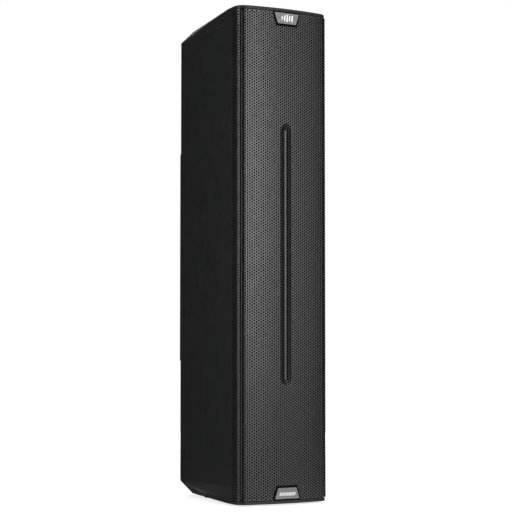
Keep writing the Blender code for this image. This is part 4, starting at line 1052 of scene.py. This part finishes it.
# ---- drivers
def make_drivers():
    """Smooth woofers: ribbed-basket frame, stepped magnet, half-roll surround and cone with dust cap."""
    half_turn = [radians(a) for a in range(0, 181, 15)]
    roll = [(0.059 - 0.0065 * cos(a), 0.0042 + 0.006 * sin(a)) for a in half_turn]
    under = [(0.059 + 0.0055 * cos(a), 0.0036 + 0.0056 * sin(a)) for a in half_turn]
    surround = [(0.052, 0.0036), (0.052, 0.0044)] + roll + [(0.074, 0.0046), (0.074, 0.0036)] + under
    curve = [(t, 0.75 * t + 0.25 * t * t) for t in [k / 10 for k in range(11)]]
    flare = [(0.018 + 0.032 * t, -0.0245 + 0.0278 * rise) for t, rise in curve]
    back = [(0.0178 + 0.0337 * t, -0.027 + 0.029 * rise) for t, rise in reversed(curve)]
    cap = [(0.0175 * sin(radians(a)), -0.0245 + 0.0085 * cos(radians(a))) for a in range(15, 90, 15)]
    cone = [(0, -0.016)] + cap + flare + [(0.0515, 0.0033)] + back
    cone += [(0.0166, -0.029), (0.0166, -0.049), (0.016, -0.049), (0.016, -0.027), (0, -0.0185)]
    basket = [(0.075, 0.0003), (0.075, 0.0028), (0.0745, 0.0033), (0.056, 0.0033), (0.056, -0.006),
              (0.05, -0.025), (0.041, -0.0427), (0.024, -0.0427), (0.024, -0.0457), (0.044, -0.0457),
              (0.0548, -0.025), (0.0605, -0.006), (0.0605, 0.0003)]
    magnet = [(0, -0.0465), (0.0154, -0.0465), (0.0154, -0.064), (0.0172, -0.064), (0.0172, -0.046),
              (0.041, -0.046), (0.042, -0.0468), (0.042, -0.05), (0.045, -0.0504), (0.045, -0.0656),
              (0.044, -0.0664), (0.0412, -0.0664), (0.0404, -0.0694), (0.0396, -0.07), (0, -0.07)]
    rows = (("surround", "surround_rubber", surround), ("cone", "cone_paper", cone),
            ("basket", "basket_steel", basket), ("magnet", "magnet_ferrite", magnet))
    reach, deep, shallow = 0.017, -0.038, -0.009
    baffle_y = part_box("baffle")[0].y
    shared = {}
    for number in range(1, 5):
        place = Matrix.Translation((0, baffle_y, span(f"woofer_{number}_basket")[2].z)) @ TOWARDS_FRONT
        for word, slot, profile in rows:
            shape = shared.get(word) or turned(profile, 64)
            if word == "basket" and not shared.get(word):
                shape = cut(shape, box((-0.1, -reach, deep), (0.1, reach, shallow)),
                            box((-reach, -0.1, deep), (reach, 0.1, shallow)))
            body = f"cone_{number}" if word == "cone" else "cabinet"
            shared[word] = add(f"driver_{number}_{word}", shape, slot, body,
                               stands_for=[f"woofer_{number}_{word}"], place=place).data


# ---- the rest
def finish_cad_nodes():
    """Give every CAD node that is still shown the finish of its slot."""
    slots = {row["node"]: row["material_slot"] for row in frame["record"]["subparts"]}
    for name, node in frame["nodes"].items():
        if node.hide_render:
            continue
        node.data.materials.clear()
        node.data.materials.append(finish(slots[name]))


def area_light(name, place, target, size, power):
    """A soft rectangular light aimed at a point."""
    data = bpy.data.lights.new(name, "AREA")
    data.shape = "RECTANGLE"
    data.size, data.size_y = size
    data.energy = power
    light = new_object(name, data)
    light.location = place
    light.rotation_euler = (Vector(target) - Vector(place)).to_track_quat("-Z", "Y").to_euler()


def glowing_patch(name, size, place, shade, strength):
    """A level square of a grey shade that also glows."""
    bm = bmesh.new()
    bmesh.ops.create_grid(bm, x_segments=1, y_segments=1, size=size)
    mesh = bpy.data.meshes.new(name)
    bm.to_mesh(mesh)
    bm.free()
    material = bpy.data.materials.new(name)
    material.use_nodes = True
    fill(material.node_tree.nodes["Principled BSDF"], Base_Color=(shade, shade, shade, 1), Roughness=0.9,
         Specular_IOR_Level=0.0, Emission_Color=(1, 1, 1, 1), Emission_Strength=strength)
    mesh.materials.append(material)
    made = new_object(name, mesh)
    made.location = place
    return made


def make_studio():
    """Pale floor, white backdrop, and soft lights in front, on both sides, behind and above."""
    scene = bpy.context.scene
    scene.view_settings.view_transform = "Standard"
    scene.view_settings.look = "None"
    glowing_patch("floor", 30, (0, 0, 0), 0.85, 0.72).visible_glossy = False
    # bright patches of the floor in front of the cabinet and by its left rear facet, seen only in reflections
    for name, size, strength, place in (("floor_glow", 0.9, 0.32, (0.3, -1.00, 0.0002)),
                                        ("floor_glow_near", 0.17, 0.75, (0.08, -0.33, 0.0004)),
                                        ("floor_glow_rear", 0.06, 0.4, (-0.12, 0.11, 0.0004))):
        card = glowing_patch(name, size, place, 0.0, strength)
        card.visible_camera = False
        card.visible_diffuse = False
        card.visible_shadow = False

    world = bpy.data.worlds.new("studio")
    scene.world = world
    world.use_nodes = True
    nodes, links = world.node_tree.nodes, world.node_tree.links
    backdrop = nodes["Background"]
    fill(backdrop, Color=(1, 1, 1, 1), Strength=1.0)
    ambient = nodes.new("ShaderNodeBackground")
    fill(ambient, Color=(1, 1, 1, 1), Strength=0.03)
    choose = nodes.new("ShaderNodeMixShader")
    rays = nodes.new("ShaderNodeLightPath")
    links.new(rays.outputs["Is Camera Ray"], choose.inputs["Fac"])
    links.new(ambient.outputs["Background"], choose.inputs[1])
    links.new(backdrop.outputs["Background"], choose.inputs[2])
    links.new(choose.outputs["Shader"], nodes["World Output"].inputs["Surface"])

    area_light("key_softbox", (0.45, -2.6, 0.85), (0, 0, 0.5), (0.8, 1.35), 20.5)
    area_light("right_softbox", (1.62, -2.1, 0.8), (0, 0, 0.5), (1.2, 1.6), 9.5)
    area_light("left_strip", (-2.25, -0.25, 0.8), (0, -0.1, 0.5), (0.3, 1.8), 19.5)
    area_light("rear_softbox", (1.3, 2.3, 0.9), (0, 0, 0.5), (1.2, 1.6), 16)
    sky = bpy.data.lights.new("overhead", "SUN")
    sky.energy = 1.3
    sky.angle = radians(70)
    new_object("overhead", sky).rotation_euler = (radians(12), radians(8), 0)


def make_camera():
    """Camera at the photograph's angle."""
    data = bpy.data.cameras.new("camera")
    data.lens = CAMERA_LENS
    data.sensor_width = 36
    camera = new_object("camera", data)
    camera.location = CAMERA_PLACE
    camera.rotation_euler = (pi / 2 + CAMERA_PITCH, 0, -CAMERA_YAW)
    bpy.context.scene.camera = camera


def main():
    """Build the looks round the frame."""
    make_camera()
    make_studio()
    make_cap("top_moulding", 1, "top_cap")
    make_cap("bottom_moulding", -1, "bottom_cap")
    make_walls()
    line = SheetLine()
    make_grille(line)
    make_foam(line)
    make_badges()
    make_module()
    make_heat_sink()
    make_sockets()
    make_inlet()
    make_switch()
    make_knobs()
    make_button_and_lenses()
    make_panel_print()
    make_fittings()
    make_drivers()
    finish_cad_nodes()


main()
